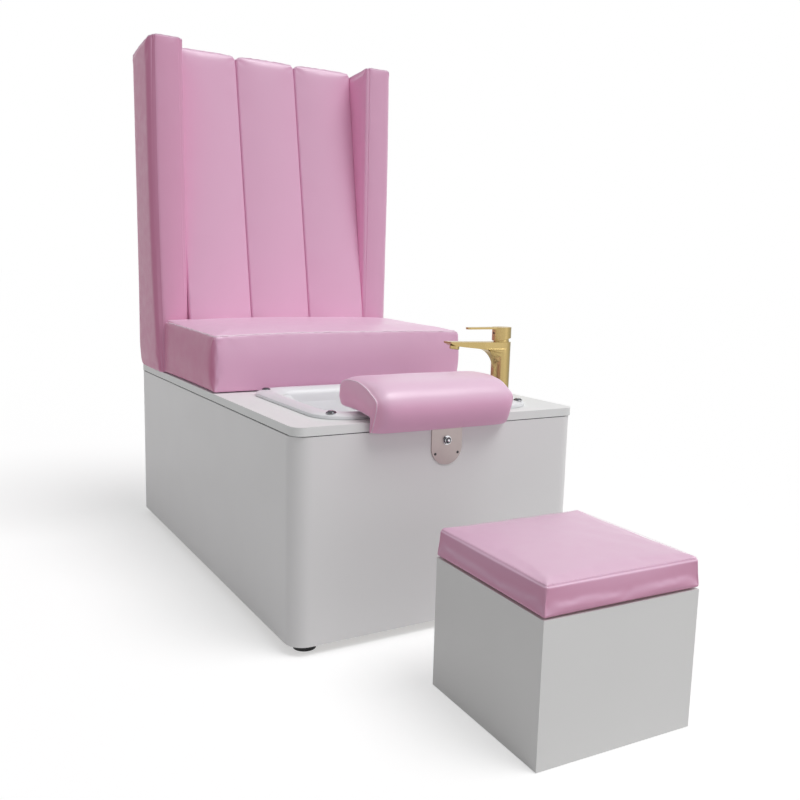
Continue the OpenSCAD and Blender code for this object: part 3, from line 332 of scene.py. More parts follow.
# the seat's leather is darker on faces to the left, a painted shade
SEAT_LEATHER = leather("leather_seat_painted_shade", (0.83, 0.47, 0.665), PAINTED_SHEEN_PINK, LEATHER_ROUGH, (0.71, 0.25, 0.42))
# the near wing's leather is a darker copy of the pink, darker still on faces to the left, both painted shade
WING_LEATHER = leather("leather_wing_painted_shade", (0.80, 0.41, 0.595), (0.85, 0.56, 0.73), LEATHER_ROUGH,
                       (0.71, 0.26, 0.43))
# the far wing's leather is lighter on faces to the left, its inner face, a painted light
LIT_FAR_WING_LEATHER = leather("leather_far_wing_painted_light", PINK, PAINTED_SHEEN_PINK, LEATHER_ROUGH, (0.96, 0.48, 0.71))
# the footrest's leather is redder on its left end, a painted light
REST_LEATHER = leather("leather_footrest_painted_light", (0.85, 0.475, 0.67), PAINTED_SHEEN_PINK, LEATHER_ROUGH, (0.92, 0.47, 0.67))
# the stool's leather is a darker copy of the pink, a painted shade
SHADED_STOOL_LEATHER = leather("leather_stool_painted_shade", (0.75, 0.375, 0.54), (0.82, 0.53, 0.70), LEATHER_ROUGH)
# the welts' leather is paler than the pink, a painted highlight along the sewn edges
WELT = leather("leather_welt_painted_highlight", (0.91, 0.66, 0.80), (0.95, 0.78, 0.88), 0.3)
STITCH = leather("thread_pink", (0.86, 0.55, 0.70), (0.88, 0.60, 0.75), 0.6)

for sub in record["subparts"]:
    for s in nodes[sub["node"]].material_slots:
        s.link = "OBJECT"
        s.material = MATERIALS[sub["material_slot"]]


# ---- mesh tools --------------------------------------------------------------------------------

def piece(name, points, faces, slot, body="chair", mat=None, levels=0, replaces=()):
    """A smooth mesh object that rides on a body, in a material slot, and may stand for CAD nodes."""
    mesh = bpy.data.meshes.new(name)
    mesh.from_pydata([tuple(p) for p in points], [], faces)
    mesh.validate()
    mesh.update()
    mesh.polygons.foreach_set("use_smooth", [True] * len(mesh.polygons))
    obj = bpy.data.objects.new(name, mesh)
    scene.collection.objects.link(obj)
    mesh.materials.append(mat or MATERIALS[slot])
    if levels:
        sub = obj.modifiers.new("Subdivision", "SUBSURF")
        sub.levels = sub.render_levels = levels
    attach(obj, body)
    if replaces:
        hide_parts(*replaces)
    return obj


ARC = (7.5, 15.0, 22.5, 30.0, 37.5, 45.0)      # degrees round an edge, up to its middle
CLOSE = 0.75                                  # a grid line this near to an extra one is dropped


def lines(half, r, step, extra=()):
    """Grid lines across one side of a block, close together round the edges and at extra."""
    flat = half - r
    n = max(2, round(2 * flat / step))
    made = [-flat + 2 * flat * i / n for i in range(n + 1)]
    for a in ARC:
        made += [flat + r * math.tan(math.radians(a)), -flat - r * math.tan(math.radians(a))]
    for e in extra:
        made = [m for m in made if abs(m - e) > CLOSE] + [e]
    return sorted(made)


def block(half, radius, step, extra=((), (), ()), r_max=None):
    """Closed quad mesh of a round-edged block. radius is a number or a function of the points from
    -1 to 1. Gives the points, the faces, the points from -1 to 1 and the normals."""
    r_max = r_max or radius
    steps = step if isinstance(step, tuple) else (step,) * 3
    grid = [lines(half[i], r_max, steps[i], extra[i]) for i in range(3)]
    size = [len(g) for g in grid]
    index, points, faces = {}, [], []

    def at(*ijk):
        if ijk not in index:
            index[ijk] = len(points)
            points.append([grid[a][ijk[a]] for a in range(3)])
        return index[ijk]

    for axis in range(3):
        u, v = (axis + 1) % 3, (axis + 2) % 3
        for end in (0, size[axis] - 1):
            for i in range(size[u] - 1):
                for j in range(size[v] - 1):
                    quad = []
                    for du, dv in ((0, 0), (1, 0), (1, 1), (0, 1)):
                        k = [0, 0, 0]
                        k[axis], k[u], k[v] = end, i + du, j + dv
                        quad.append(at(*k))
                    faces.append(quad if end else quad[::-1])
    pts = np.array(points)
    h = np.array(half, float)
    r = radius(pts / h) if callable(radius) else np.full(len(pts), float(radius))
    inner = np.clip(pts, -(h - r[:, None]), h - r[:, None])
    d = pts - inner
    length = np.linalg.norm(d, axis=1, keepdims=True)
    return inner + r[:, None] * d / length, faces, pts / h, d / length


def bell(x, width):
    """1 at 0, falling to nothing over about twice the width."""
    return np.exp(-(x / width) ** 2)


def smooth(x, a, b):
    """0 up to a, 1 from b, with an even curve between."""
    t = np.clip((x - a) / (b - a), 0, 1)
    return t * t * (3 - 2 * t)


FULL_TURN = 6.283


def waves(x, seed, count, low, high):
    """A fixed irregular wave over x, of count sines whose lengths lie from low to high."""
    rng = np.random.default_rng(seed)
    total = np.zeros_like(x, float)
    for _ in range(count):
        total += np.sin(2 * math.pi * x / rng.uniform(low, high) + rng.uniform(0, FULL_TURN))
    return total / count


def quad_map(p, half, quad):
    """Maps a block's second and third coordinates onto a four-cornered outline."""
    u = (p[:, 1] / half[1] + 1) / 2
    v = (p[:, 2] / half[2] + 1) / 2
    q = [np.array(c, float) for c in quad]
    return (np.outer((1 - u) * (1 - v), q[0]) + np.outer(u * (1 - v), q[1])
            + np.outer(u * v, q[2]) + np.outer((1 - u) * v, q[3]))


def puff(obj, pressure, held, cap, frames=20):
    """Blows the piece up as cloth for some frames, then keeps at most cap metres of the move."""
    mesh = obj.data
    start = np.empty(len(mesh.vertices) * 3)
    mesh.vertices.foreach_get("co", start)
    start = start.reshape(-1, 3)
    group = obj.vertex_groups.new(name="held")
    for i in np.nonzero(held)[0]:
        group.add([int(i)], 1.0, "REPLACE")
    mods = list(obj.modifiers)
    for m in mods:
        m.show_viewport = False
    cloth = obj.modifiers.new("Cloth", "CLOTH")
    s = cloth.settings
    s.quality = 5
    s.mass = 0.3
    s.tension_stiffness = s.compression_stiffness = 18
    s.shear_stiffness = 8
    s.bending_stiffness = 0.6
    s.vertex_group_mass = "held"
    s.use_pressure = True
    s.uniform_pressure_force = pressure
    s.effector_weights.gravity = 0
    cloth.point_cache.frame_start = 1
    cloth.point_cache.frame_end = frames
    cloth.collision_settings.use_collision = False
    for f in range(1, frames + 1):
        scene.frame_set(f)
    done = obj.evaluated_get(bpy.context.evaluated_depsgraph_get())
    end = np.empty(len(mesh.vertices) * 3)
    done.data.vertices.foreach_get("co", end)
    end = end.reshape(-1, 3)
    obj.modifiers.remove(cloth)
    scene.frame_set(1)
    move = end - start
    length = np.linalg.norm(move, axis=1, keepdims=True)
    move *= np.minimum(1, cap / np.maximum(length, 1e-9))
    mesh.vertices.foreach_set("co", (start + move).ravel())
    mesh.update()
    obj.vertex_groups.clear()
    for m in mods:
        m.show_viewport = True


# a stitch's rings of points: place along it, share of its radius, and how deep it dips
STITCH_RINGS = ((-0.5, 0.35, 0.6), (-0.38, 0.85, 0.2), (0.0, 1.0, 0.0), (0.38, 0.85, 0.2), (0.5, 0.35, 0.6))


def stitches(name, path, normals, slot, body, length=3.0, radius=0.42, pitch=4.4, lift=0.15, slant=0.0):
    """Short thread loops along a path of frame points (metres), each lying along the path."""
    path, normals = np.array(path), np.array(normals)
    seg = np.linalg.norm(np.diff(path, axis=0), axis=1)
    dist = np.concatenate([[0], np.cumsum(seg)])
    n = int(dist[-1] / (pitch * MM))
    pts, faces = [], []
    for i in range(n):
        s = (i + 0.5) * pitch * MM
        c = np.array([np.interp(s, dist, path[:, a]) for a in range(3)])
        ahead = np.array([np.interp(s + 0.001, dist, path[:, a]) for a in range(3)]) - c
        up = np.array([np.interp(s, dist, normals[:, a]) for a in range(3)])
        t = ahead / max(np.linalg.norm(ahead), 1e-12)
        up -= t * up.dot(t)
        up /= np.linalg.norm(up)
        side = np.cross(up, t)
        if slant:
            a = math.radians(slant if i % 2 else -slant)
            t, side = t * math.cos(a) + side * math.sin(a), side * math.cos(a) - t * math.sin(a)
        base = len(pts)
        for z, rr, dip in STITCH_RINGS:
            for k in range(6):
                w = k * math.pi / 3
                off = side * math.cos(w) + up * math.sin(w)
                pts.append(c + t * z * length * MM + off * radius * rr * MM + up * (lift - dip) * radius * MM)
        for ring in range(4):
            for k in range(6):
                a0, a1 = base + ring * 6 + k, base + ring * 6 + (k + 1) % 6
                faces.append((a0, a1, a1 + 6, a0 + 6))
        faces.append(tuple(base + k for k in range(5, -1, -1)))
        faces.append(tuple(base + 24 + k for k in range(6)))
    return piece(name, pts, faces, slot, body, mat=STITCH)


WELT_STEP = 3.5


def welt(name, obj, index, normals=None, radius=1.2, lift=0.3, seed=1, body="chair", closed=True, wander=0.5):
    """A sewn edge: a thin uneven roll along some of a piece's vertices, in a paler leather that is a painted
    highlight.
    """
    path = np.array([obj.data.vertices[int(i)].co for i in index]) / MM
    out = np.zeros_like(path) if normals is None else np.array(normals, float)[index]
    path = path + out * lift
    if closed:
        path, out = np.vstack([path, path[:1]]), np.vstack([out, out[:1]])
    dist = np.concatenate([[0], np.cumsum(np.linalg.norm(np.diff(path, axis=0), axis=1))])
    count = int(dist[-1] / WELT_STEP)
    at = np.linspace(0, dist[-1], count, endpoint=not closed)
    c = np.stack([np.interp(at, dist, path[:, a]) for a in range(3)], axis=1)
    up = np.stack([np.interp(at, dist, out[:, a]) for a in range(3)], axis=1)
    c = c + up * (wander * waves(at, seed, 4, 18, 60))[:, None]
    c[:, 2] += wander * waves(at, seed + 1, 4, 30, 90)
    ahead = np.roll(c, -1, axis=0) - np.roll(c, 1, axis=0)
    if not closed:
        ahead[0], ahead[-1] = c[1] - c[0], c[-1] - c[-2]
    ahead /= np.linalg.norm(ahead, axis=1, keepdims=True)
    ref = np.where(np.abs(ahead[:, 2:3]) > 0.9, np.array([[1.0, 0, 0]]), np.array([[0, 0, 1.0]]))
    side = np.cross(ahead, ref)
    side /= np.linalg.norm(side, axis=1, keepdims=True)
    top = np.cross(side, ahead)
    sizes = radius * (1 + 0.25 * waves(at, seed + 2, 4, 12, 30))
    pts, faces = [], []
    for i in range(count):
        for k in range(8):
            w = k * math.pi / 4
            pts.append((c[i] + sizes[i] * (side[i] * math.cos(w) + top[i] * math.sin(w))) * MM)
    for i in range(count if closed else count - 1):
        j = (i + 1) % count
        for k in range(8):
            k1 = (k + 1) % 8
            faces.append((i * 8 + k, i * 8 + k1, j * 8 + k1, j * 8 + k))
    if not closed:
        faces.append(tuple(range(7, -1, -1)))
        faces.append(tuple((count - 1) * 8 + k for k in range(8)))
    return piece(name, pts, faces, "pink_leather", body, mat=WELT)


def top_edge(n):
    """Indices of a block's top edge in their order round it."""
    at = np.nonzero((n[:, 2] > 0.999) & ((np.abs(n[:, 0]) > 0.999) | (np.abs(n[:, 1]) > 0.999)))[0]
    return at[np.argsort(np.arctan2(n[at, 1], n[at, 0]))]


# ---- seat --------------------------------------------------------------------------------------

SEAT_X, SEAT_Y0, SEAT_Y1, SEAT_H = 354.0, -109.5, 334.0, 139.0
SEAT_LIFT = 2.5                        # its underside over the deck
EAR = 279.4                            # where the seat's ears begin, beside the channel cushions
BACK_GAP = 33.0                        # from the back board's front to the seat's rear, between the ears
# creases towards the front's corners: place as shares of the half width and height, slope, depth
CREASES = ((-0.93, 0.78, 0.5, 2.0), (-0.80, 0.62, 0.25, 1.1), (0.92, 0.75, -0.4, 1.2))


def seat():
    """The seat cushion, with an ear at each side that reaches back beside the channel cushions."""
    half = (SEAT_X, (SEAT_Y1 - SEAT_Y0) / 2, SEAT_H / 2)

    def radius(n):
        return 6 + 7 * smooth(n[:, 2], -1.0, -0.6)

    ears = [-EAR - 1.5, -EAR, EAR, EAR + 1.5]
    p, faces, n, nor = block(half, radius, 9.0, (ears, (), ()), r_max=13.0)
    x, y, z = p[:, 0] / half[0], p[:, 1] / half[1], p[:, 2] / half[2]
    v = (y + 1) / 2
    fx, fy = 1 - np.abs(x) ** 2.4, 1 - np.abs(y) ** 2.2
    up = np.clip((z + 1) / 2, 0, 1)
    q = p.copy()
    q[:, 2] += up ** 3 * (8 * fx * (1 - v) + 10 * v + 4 * v * fx + 6 * fx * fy + 3.0 * smooth(x, 0.2, 0.9))
    belly = np.sin(up * math.pi)
    front = smooth(-y, 0.8, 1.0)
    q[:, 1] += fx * front * (3.0 - 7.0 * belly)
    beside = smooth(np.abs(x), 0.8, 1.0) * np.where(x > 0, 1 - 0.4 * np.abs(y) ** 6, fy)
    q[:, 0] += beside * np.where(x > 0, 1.5 + 9.0 * belly, 3.0 - 4.0 * belly)
    # the sewn edge under the top, its gathers, and creases towards the corners
    edge = bell(nor[:, 2] - 0.72, 0.13) * (nor[:, 2] > 0.2) * (1 - np.abs(nor[:, 2]) ** 8)
    along = np.where(np.abs(nor[:, 1]) > np.abs(nor[:, 0]), p[:, 0], p[:, 1] + 500)
    q -= nor * (1.5 * edge * (1 + 0.5 * waves(along, 41, 4, 22, 60)))[:, None]
    near = bell(nor[:, 2] - 0.45, 0.35) * (nor[:, 2] > 0) * (z > 0.5)
    q += nor * (0.8 * near * waves(along, 43, 4, 26, 80))[:, None]
    for cx, cz, slope, deep in CREASES:
        far = (p[:, 0] - cx * half[0]) * math.cos(slope) + (p[:, 2] - cz * half[2]) * math.sin(slope)
        side = (p[:, 2] - cz * half[2]) * math.cos(slope) - (p[:, 0] - cx * half[0]) * math.sin(slope)
        q[:, 1] += deep * bell(side, 5.0) * bell(far, 26.0) * smooth(-nor[:, 1], 0.3, 0.9)
    # between the ears the seat ends at the channel cushions
    height = q[:, 2] + half[2]
    rear = BACK_Y + height * math.tan(LEAN) - BACK_GAP
    between = np.abs(p[:, 0]) <= EAR + 0.1
    q[between, 1] = (-half[1] + (q[:, 1] + half[1]) * (rear - SEAT_Y0) / (2 * half[1]))[between]
    q += np.array([0, (SEAT_Y0 + SEAT_Y1) / 2, DECK + SEAT_LIFT + half[2]])
    obj = piece("seat_cushion_soft", chair(q), faces, "pink_leather", mat=SEAT_LEATHER, levels=1,
                replaces=["seat_cushion"])
    sewn = (nor[:, 2] > 0.6) & (np.abs(nor[:, 2] - 0.72) < 0.12)
    puff(obj, 4.0, (n[:, 2] < -0.9) | (y > 0.85) | sewn, 0.005)
    edge = [i for i in top_edge(n) if y[i] < 0.82]
    edge = sorted(edge, key=lambda i: math.atan2(n[i, 0], -n[i, 1] - 0.2))
    welt("seat_welt", obj, edge, nor, radius=1.6, seed=301, closed=False, wander=0.8)


# ---- wings -------------------------------------------------------------------------------------

BACK_Y, LEAN = 327.0, math.radians(10.15)
BACK_LEN = 938.5
WING_H = 921.0
SEAM_OUT, SEAM_IN = 15.0, 14.0         # the front's two seams, from its outer and inner edge
WING_ROUND, WING_CORNER = 26.0, 34.0   # radii of the front outer edge and the low rear corner
# the wing's side outline, y and height: low front, low rear, high rear, high front
WING_QUAD = [(333, 0), (597.5, 0), (572, 909), (348.5, 923.5)]


def wing_inner(t, h):
    """X of a wing's inner face, t from its front (0) to its rear (1), h over the deck."""
    return (279.8 + 0.0056 * h) * (1 - t) + (277.1 + 0.0133 * h) * t


def wing_outer(t, h):
    """X of a wing's outer face, in the same way."""
    s = h / WING_H
    front = 364.5 + 13.5 * s + 5.5 * np.sin(math.pi * np.clip(s, 0, 1))
    return front * (1 - t) + (356.0 + 15.0 * s) * t + 5.0 * t * (1 - t)


def wing(side, name):
    """A wing pad. side is 1 for the right one and -1 for the left one."""
    mat, pad = (LIT_FAR_WING_LEATHER, "wing_pad_right") if side > 0 else (WING_LEATHER, "wing_pad_left")
    half = (42.0, 130.0, 458.0)
    seams = (half[0] - SEAM_OUT, -half[0] + SEAM_IN)
    near = [m + d for m in seams for d in (-5, -2.6, -1.2, 0, 1.2, 2.6, 5)]

    def radius(n):
        return 4 + 3 * smooth(-n[:, 1], -0.2, 0.7)

    sharp = [[s * (h - d) for s in (-1, 1) for d in (1.2, 3.0, 4.8, 7.5)] for h in half]
    extra = (near + sharp[0], sharp[1], sharp[2])
    p, faces, n, nor = block(half, radius, (8.0, 10.0, 12.0), extra, r_max=24.0)
    q = p.copy()
    # the front outer edge is round, the roof's edge above it is not
    r = WING_ROUND
    a, b = (q[:, 0] - (half[0] - r)) / r, (-(half[1] - r) - q[:, 1]) / r
    inside = (a > 0) & (b > 0)
    m = np.maximum(a, b) / np.maximum(np.hypot(a, b), 1e-6)
    q[inside, 0] = (half[0] - r) + r * (a * m)[inside]
    q[inside, 1] = -(half[1] - r) - r * (b * m)[inside]
    front = np.clip(-nor[:, 1], 0, 1)
    roof = np.clip(nor[:, 2], 0, 1)
    long = 1 - np.abs(n[:, 2]) ** 6
    groove = np.zeros(len(p))
    for m in seams:
        cut = bell(p[:, 0] - m, 1.5)
        roll = bell(p[:, 0] - m + 3.2, 2.6) + bell(p[:, 0] - m - 3.2, 2.6)
        q -= nor * ((0.8 * cut - 0.2 * roll) * smooth(front + roof, 0.2, 0.7))[:, None]
        groove = np.maximum(groove, cut)
    q[:, 1] -= 2.5 * (1 - n[:, 0] ** 2) * front * long
    q[:, 2] += 3.0 * (1 - n[:, 0] ** 2) * roof * (1 - n[:, 1] ** 2)
    # gathers at the head of the seams, slack along them
    head = smooth(n[:, 2], 0.9, 1.0)
    q += nor * (0.9 * head * waves(p[:, 0], 5, 3, 9, 17) * (front + roof))[:, None]
    q += nor * (0.35 * front * waves(p[:, 2] + 3 * p[:, 0], 8 + side, 4, 60, 200))[:, None]
    # the outline's low rear corner is round
    r = WING_CORNER
    a, b = (q[:, 1] - (half[1] - r)) / r, (-(half[2] - r) - q[:, 2]) / r
    inside = (a > 0) & (b > 0)
    m = np.maximum(a, b)
    hyp = np.maximum(np.hypot(a, b), 1e-6)
    q[inside, 1] = (half[1] - r) + r * (a * m / hyp)[inside]
    q[inside, 2] = -(half[2] - r) - r * (b * m / hyp)[inside]
    yz = quad_map(q, half, WING_QUAD)
    h = yz[:, 1] + 0.5
    t = np.clip((q[:, 1] / half[1] + 1) / 2, 0, 1)
    share = (q[:, 0] + half[0]) / (2 * half[0])
    x = wing_inner(t, h) + share * (wing_outer(t, h) - wing_inner(t, h))
    out = np.stack([side * x, yz[:, 0], DECK + h], axis=1)
    if side < 0:
        faces = [f[::-1] for f in faces]
    obj = piece(name, chair(out), faces, "pink_leather", mat=mat, levels=1, replaces=[pad])
    puff(obj, 3.0, (n[:, 2] < -0.95) | (groove > 0.3), 0.003)
    turned = nor * np.array([side, 1, 1])
    welt(name.replace("soft", "welt"), obj, top_edge(n), turned, radius=1.4, lift=0.2, seed=330 + side)


seat()
wing(1, "wing_right_soft")
wing(-1, "wing_left_soft")


# ---- back --------------------------------------------------------------------------------------

def on_back(q):
    """x across, v up the slope and w out of the board, to chair coordinates."""
    c, s = math.cos(LEAN), math.sin(LEAN)
    x, v, w = q[:, 0], q[:, 1], q[:, 2]
    return np.stack([x, BACK_Y + v * s - w * c, DECK + v * c + w * s], axis=1)


CHANNEL_DEEP = 14.0                    # half a channel cushion's thickness
HEAD_LINES = (16, 20, 25, 31, 38)      # extra grid lines, from the cushion's head


def channel(name, node, low, high, seed):
    """A channel cushion. low and high give its x range at the foot and at the head."""
    width = (high[1] - high[0] + low[1] - low[0]) / 4
    half = (width, BACK_LEN / 2 - 2, CHANNEL_DEEP)

    def radius(n):
        return 8.5 + 4.5 * smooth(n[:, 1], 0.9, 1.0)

    extra = ((), [half[1] - d for d in HEAD_LINES], ())
    p, faces, n, nor = block(half, radius, (7.0, 13.0, 8.0), extra, r_max=12.0)
    q = p.copy()
    face = np.clip(nor[:, 2], 0, 1)
    up = (n[:, 1] + 1) / 2
    crown = 1 - np.abs(n[:, 0]) ** 2.3
    ends = 1 - smooth(n[:, 1], 0.93, 1.0) * 0.55
    height = np.clip((p[:, 2] + CHANNEL_DEEP) / (2 * CHANNEL_DEEP), 0, 1)
    q[:, 2] += (n[:, 2] > 0) * 7.5 * crown * ends * height
    q[:, 1] -= 5.0 * np.abs(n[:, 0]) ** 7 * smooth(n[:, 1], 0.97, 1.0)
    # gathers where the cover is drawn over the top, and slack along the seams
    head = smooth(n[:, 1], 0.955, 1.0)
    q += nor * (1.1 * head * waves(p[:, 0], seed, 4, 14, 34) * (np.abs(n[:, 0]) < 0.97))[:, None]
    slack = bell(np.abs(n[:, 0]) - 0.86, 0.1) * face
    q += nor * (0.5 * slack * waves(p[:, 1] + 30 * n[:, 0], seed + 3, 4, 60, 170))[:, None]
    x = q[:, 0] / half[0]
    left = low[0] + (high[0] - low[0]) * up
    right = low[1] + (high[1] - low[1]) * up
    q[:, 0] = (left + right) / 2 + x * (right - left) / 2
    q[:, 1] += half[1] + 3
    q[:, 2] += CHANNEL_DEEP
    obj = piece(name, chair(on_back(q)), faces, "pink_leather", levels=1, replaces=[node])
    puff(obj, 3.0, (nor[:, 2] < -0.3) | (np.abs(nor[:, 0]) > 0.5), 0.004)
    head = np.nonzero((n[:, 1] > 0.999) & (n[:, 2] > 0.999) & (np.abs(n[:, 0]) < 0.96))[0]
    head = head[np.argsort(n[head, 0])]
    c, s = math.cos(LEAN), math.sin(LEAN)
    tilted = np.stack([nor[:, 0], nor[:, 1] * s - nor[:, 2] * c, nor[:, 1] * c + nor[:, 2] * s], axis=1)
    welt(name.replace("soft", "welt"), obj, head, tilted, radius=1.5, lift=0.2, seed=340 + seed, closed=False)


channel("back_channel_middle_soft", "back_channel_middle", (-93, 93), (-93, 93), 11)
channel("back_channel_right_soft", "back_channel_right", (93.3, 278.8), (93.3, 286.6), 21)
channel("back_channel_left_soft", "back_channel_left", (-278.8, -93.3), (-286.6, -93.3), 31)


COVER_X, COVER_Y, COVER_DEEP = 280.0, 598.0, 5.5    # half width, rear face, half thickness
TAPER_RUN, TAPER_RISE = 26, 906


def back_cover():
    """The leather over the back's rear face, as wide as the wings' inner faces are apart."""
    top = (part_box("rear_cover")[1][2] / MM) - DECK
    taper = math.atan(TAPER_RUN / TAPER_RISE)
    half = (COVER_X, top / math.cos(taper) / 2, COVER_DEEP)
    p, faces, n, nor = block(half, 4.5, (14.0, 16.0, 6.0))
    q = p.copy()
    up = (n[:, 1] + 1) / 2
    q[:, 0] *= (277.1 + 0.0133 * up * top - 0.8) / COVER_X
    q[:, 2] += np.clip(nor[:, 2], 0, 1) * 2.2 * (1 - n[:, 0] ** 4) * (1 - n[:, 1] ** 6)
    v, w = q[:, 1] + half[1] + 0.6, q[:, 2]
    c, s = math.cos(taper), math.sin(taper)
    out = np.stack([-q[:, 0], COVER_Y - COVER_DEEP - v * s + w * c, DECK + v * c + w * s], axis=1)
    piece("rear_cover_soft", chair(out), faces, "pink_leather", levels=1, replaces=["rear_cover"])


def top_pad():
    """The narrow pad that closes the back's top."""
    lo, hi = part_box("back_top_pad")
    half = ((hi[0] - lo[0]) / 2 / MM - 0.2, (hi[1] - lo[1]) / 2 / MM - 0.4, 5.6)
    p, faces, n, nor = block(half, 4.8, (14.0, 10.0, 6.0))
    q = p.copy()
    q[:, 2] += np.clip(nor[:, 2], 0, 1) * 3.0 * (1 - n[:, 0] ** 6) * (1 - n[:, 1] ** 2)
    q += nor * (0.7 * waves(p[:, 0], 77, 4, 25, 60) * bell(np.abs(n[:, 1]) - 0.9, 0.15))[:, None]
    centre = [(lo[0] + hi[0]) / 2 / MM, (lo[1] + hi[1]) / 2 / MM - CHAIR_Y / MM, lo[2] / MM + 5.8]
    piece("back_top_soft", chair(q + np.array(centre)), faces, "pink_leather", levels=1,
          replaces=["back_top_pad"])


back_cover()
top_pad()


# ---- footrest ----------------------------------------------------------------------------------

REST_X, REST_W = -24.0, 340.0
REST_Y = -600.0                        # the cabinet's front face
# outlines across the cushion, how far in front of the cabinet and over the deck: its outer side at the
# ends and in the body, then its inner side at the ends and in the body
REST_OUT = [(-132, 44), (-129, 61), (-116, 70), (-94, 74), (-56, 74.5), (-26, 68), (0, 57.5), (25, 45),
            (27, 31), (21, 15), (14, -4), (8, -18)]
REST_BODY = [(-137, 44), (-135, 65), (-121, 78), (-96, 84), (-56, 85), (-22, 83.5), (10, 78), (34, 63.5),
             (47, 43), (48, 19), (39, -5), (23, -20)]
REST_IN = [(-131, 31), (-125, 22.5), (-112, 19.4), (-90, 19.5), (-62, 19), (-38, 18), (-14, 15), (3, 12),
           (7, 5), (7.5, -3), (6, -12), (4, -20)]
REST_UNDER = [(-134, 30), (-128, 21.5), (-117, 19.6), (-94, 19.6), (-62, 19.6), (-36, 19.6), (-14, 19.6),
              (4, 19.6), (7, 12), (6.5, 3), (6, -9.5), (5.5, -19)]


def curve(points, n):
    """n points along a smooth curve through the given ones, closer where it bends."""
    p = np.array(points, float)
    seg = np.sqrt(np.linalg.norm(np.diff(p, axis=0), axis=1))
    t = np.concatenate([[0], np.cumsum(seg)])
    ext = np.vstack([2 * p[0] - p[1], p, 2 * p[-1] - p[-2]])
    out = []
    for s in np.linspace(0, t[-1], n):
        i = min(int(np.searchsorted(t, s, side="right")) - 1, len(p) - 2)
        w = (s - t[i]) / (t[i + 1] - t[i])
        a, b, c, d = ext[i], ext[i + 1], ext[i + 2], ext[i + 3]
        square, cube = 2 * a - 5 * b + 4 * c - d, 3 * b - a - 3 * c + d
        out.append(0.5 * (2 * b + (c - a) * w + square * w ** 2 + cube * w ** 3))
    return np.array(out)


def footrest():
    """The crescent cushion, as cross sections from its left end to its right one."""
    k, m = 46, 8                       # points along an outline, and steps through the cushion
    ends, body = (curve(REST_OUT, k), curve(REST_IN, k)), (curve(REST_BODY, k), curve(REST_UNDER, k))
    place = np.linspace(0, 1, k)
    stations = [-1, -0.996, -0.990, -0.983, -0.975, -0.962, -0.94, -0.9]
    stations += list(np.linspace(-0.85, 0.85, 26)) + [-s for s in reversed(stations)]
    loop = ([(i, 0) for i in range(k)] + [(k - 1, j) for j in range(1, m)]
            + [(i, m) for i in range(k - 1, -1, -1)] + [(0, j) for j in range(m - 1, 0, -1)])

    def section(x):
        edge = abs(x)
        full = 1 - edge ** 15
        outer, inner = (e + (b - e) * full for e, b in zip(ends, body))
        centre = (outer + inner) / 2
        swell = 1 + 0.02 * (1 - x * x)
        # a sewn edge: a fine ridge with a groove behind it
        trim = -2.6 * max(0.0, (edge - 0.992) / 0.008) + 0.9 * math.exp(-((edge - 0.990) / 0.0035) ** 2)
        trim -= 1.1 * math.exp(-((edge - 0.974) / 0.006) ** 2)
        o = centre + (outer - centre) * swell
        d = outer - centre
        d /= np.maximum(np.linalg.norm(d, axis=1, keepdims=True), 1e-6)
        o = o + d * trim
        i = inner - d * min(trim, 0)
        ripple = 0.35 * np.sin(np.linspace(0, 9, k) + 7 * x) * (1 - x * x)
        gather = 0.7 * math.exp(-((edge - 0.935) / 0.03) ** 2) * waves(place * 190, 61 + (x > 0), 5, 12, 30)
        o = o + d * (ripple + gather)[:, None]
        return np.array([[o[a] + (i[a] - o[a]) * b / m for b in range(m + 1)] for a in range(k)])

    pts, faces, rings = [], [], []
    for x in stations:
        g = section(x)
        rings.append(list(range(len(pts), len(pts) + len(loop))))
        for a, b in loop:
            f, h = g[a][b]
            pts.append((REST_X + x * REST_W / 2, REST_Y - f, DECK + h))
    n = len(loop)
    for r0, r1 in zip(rings, rings[1:]):
        for i in range(n):
            j = (i + 1) % n
            faces.append((r0[i], r0[j], r1[j], r1[i]))
    for side, ring, x in ((-1, rings[0], stations[0]), (1, rings[-1], stations[-1])):
        g = section(x)
        at = {ab: ring[i] for i, ab in enumerate(loop)}
        for a in range(k):
            for b in range(m + 1):
                if (a, b) not in at:
                    at[a, b] = len(pts)
                    f, h = g[a][b]
                    dome = 4.5 * math.sin(math.pi * b / m) * math.sin(math.pi * a / (k - 1)) ** 0.5
                    pts.append((REST_X + x * REST_W / 2 + side * dome, REST_Y - f, DECK + h))
        for a in range(k - 1):
            for b in range(m):
                quad = (at[a, b], at[a + 1, b], at[a + 1, b + 1], at[a, b + 1])
                faces.append(quad[::-1] if side < 0 else quad)
    obj = piece("footrest_cushion_soft", chair(pts), faces, "pink_leather", mat=REST_LEATHER, levels=1,
                replaces=["footrest_cushion"])
    for end, ring in (("left", rings[2]), ("right", rings[-3])):
        welt(f"footrest_welt_{end}", obj, ring, radius=1.0, seed=350, wander=0.3)


footrest()


# ---- stool cushion -----------------------------------------------------------------------------

PAD_LIFT = 3.2                         # the cushion's underside over the box
STITCH_IN, STITCH_END = 5.6, 0.955     # from the cushion's edge, and where a row ends as a share
STITCH_COUNT = 60


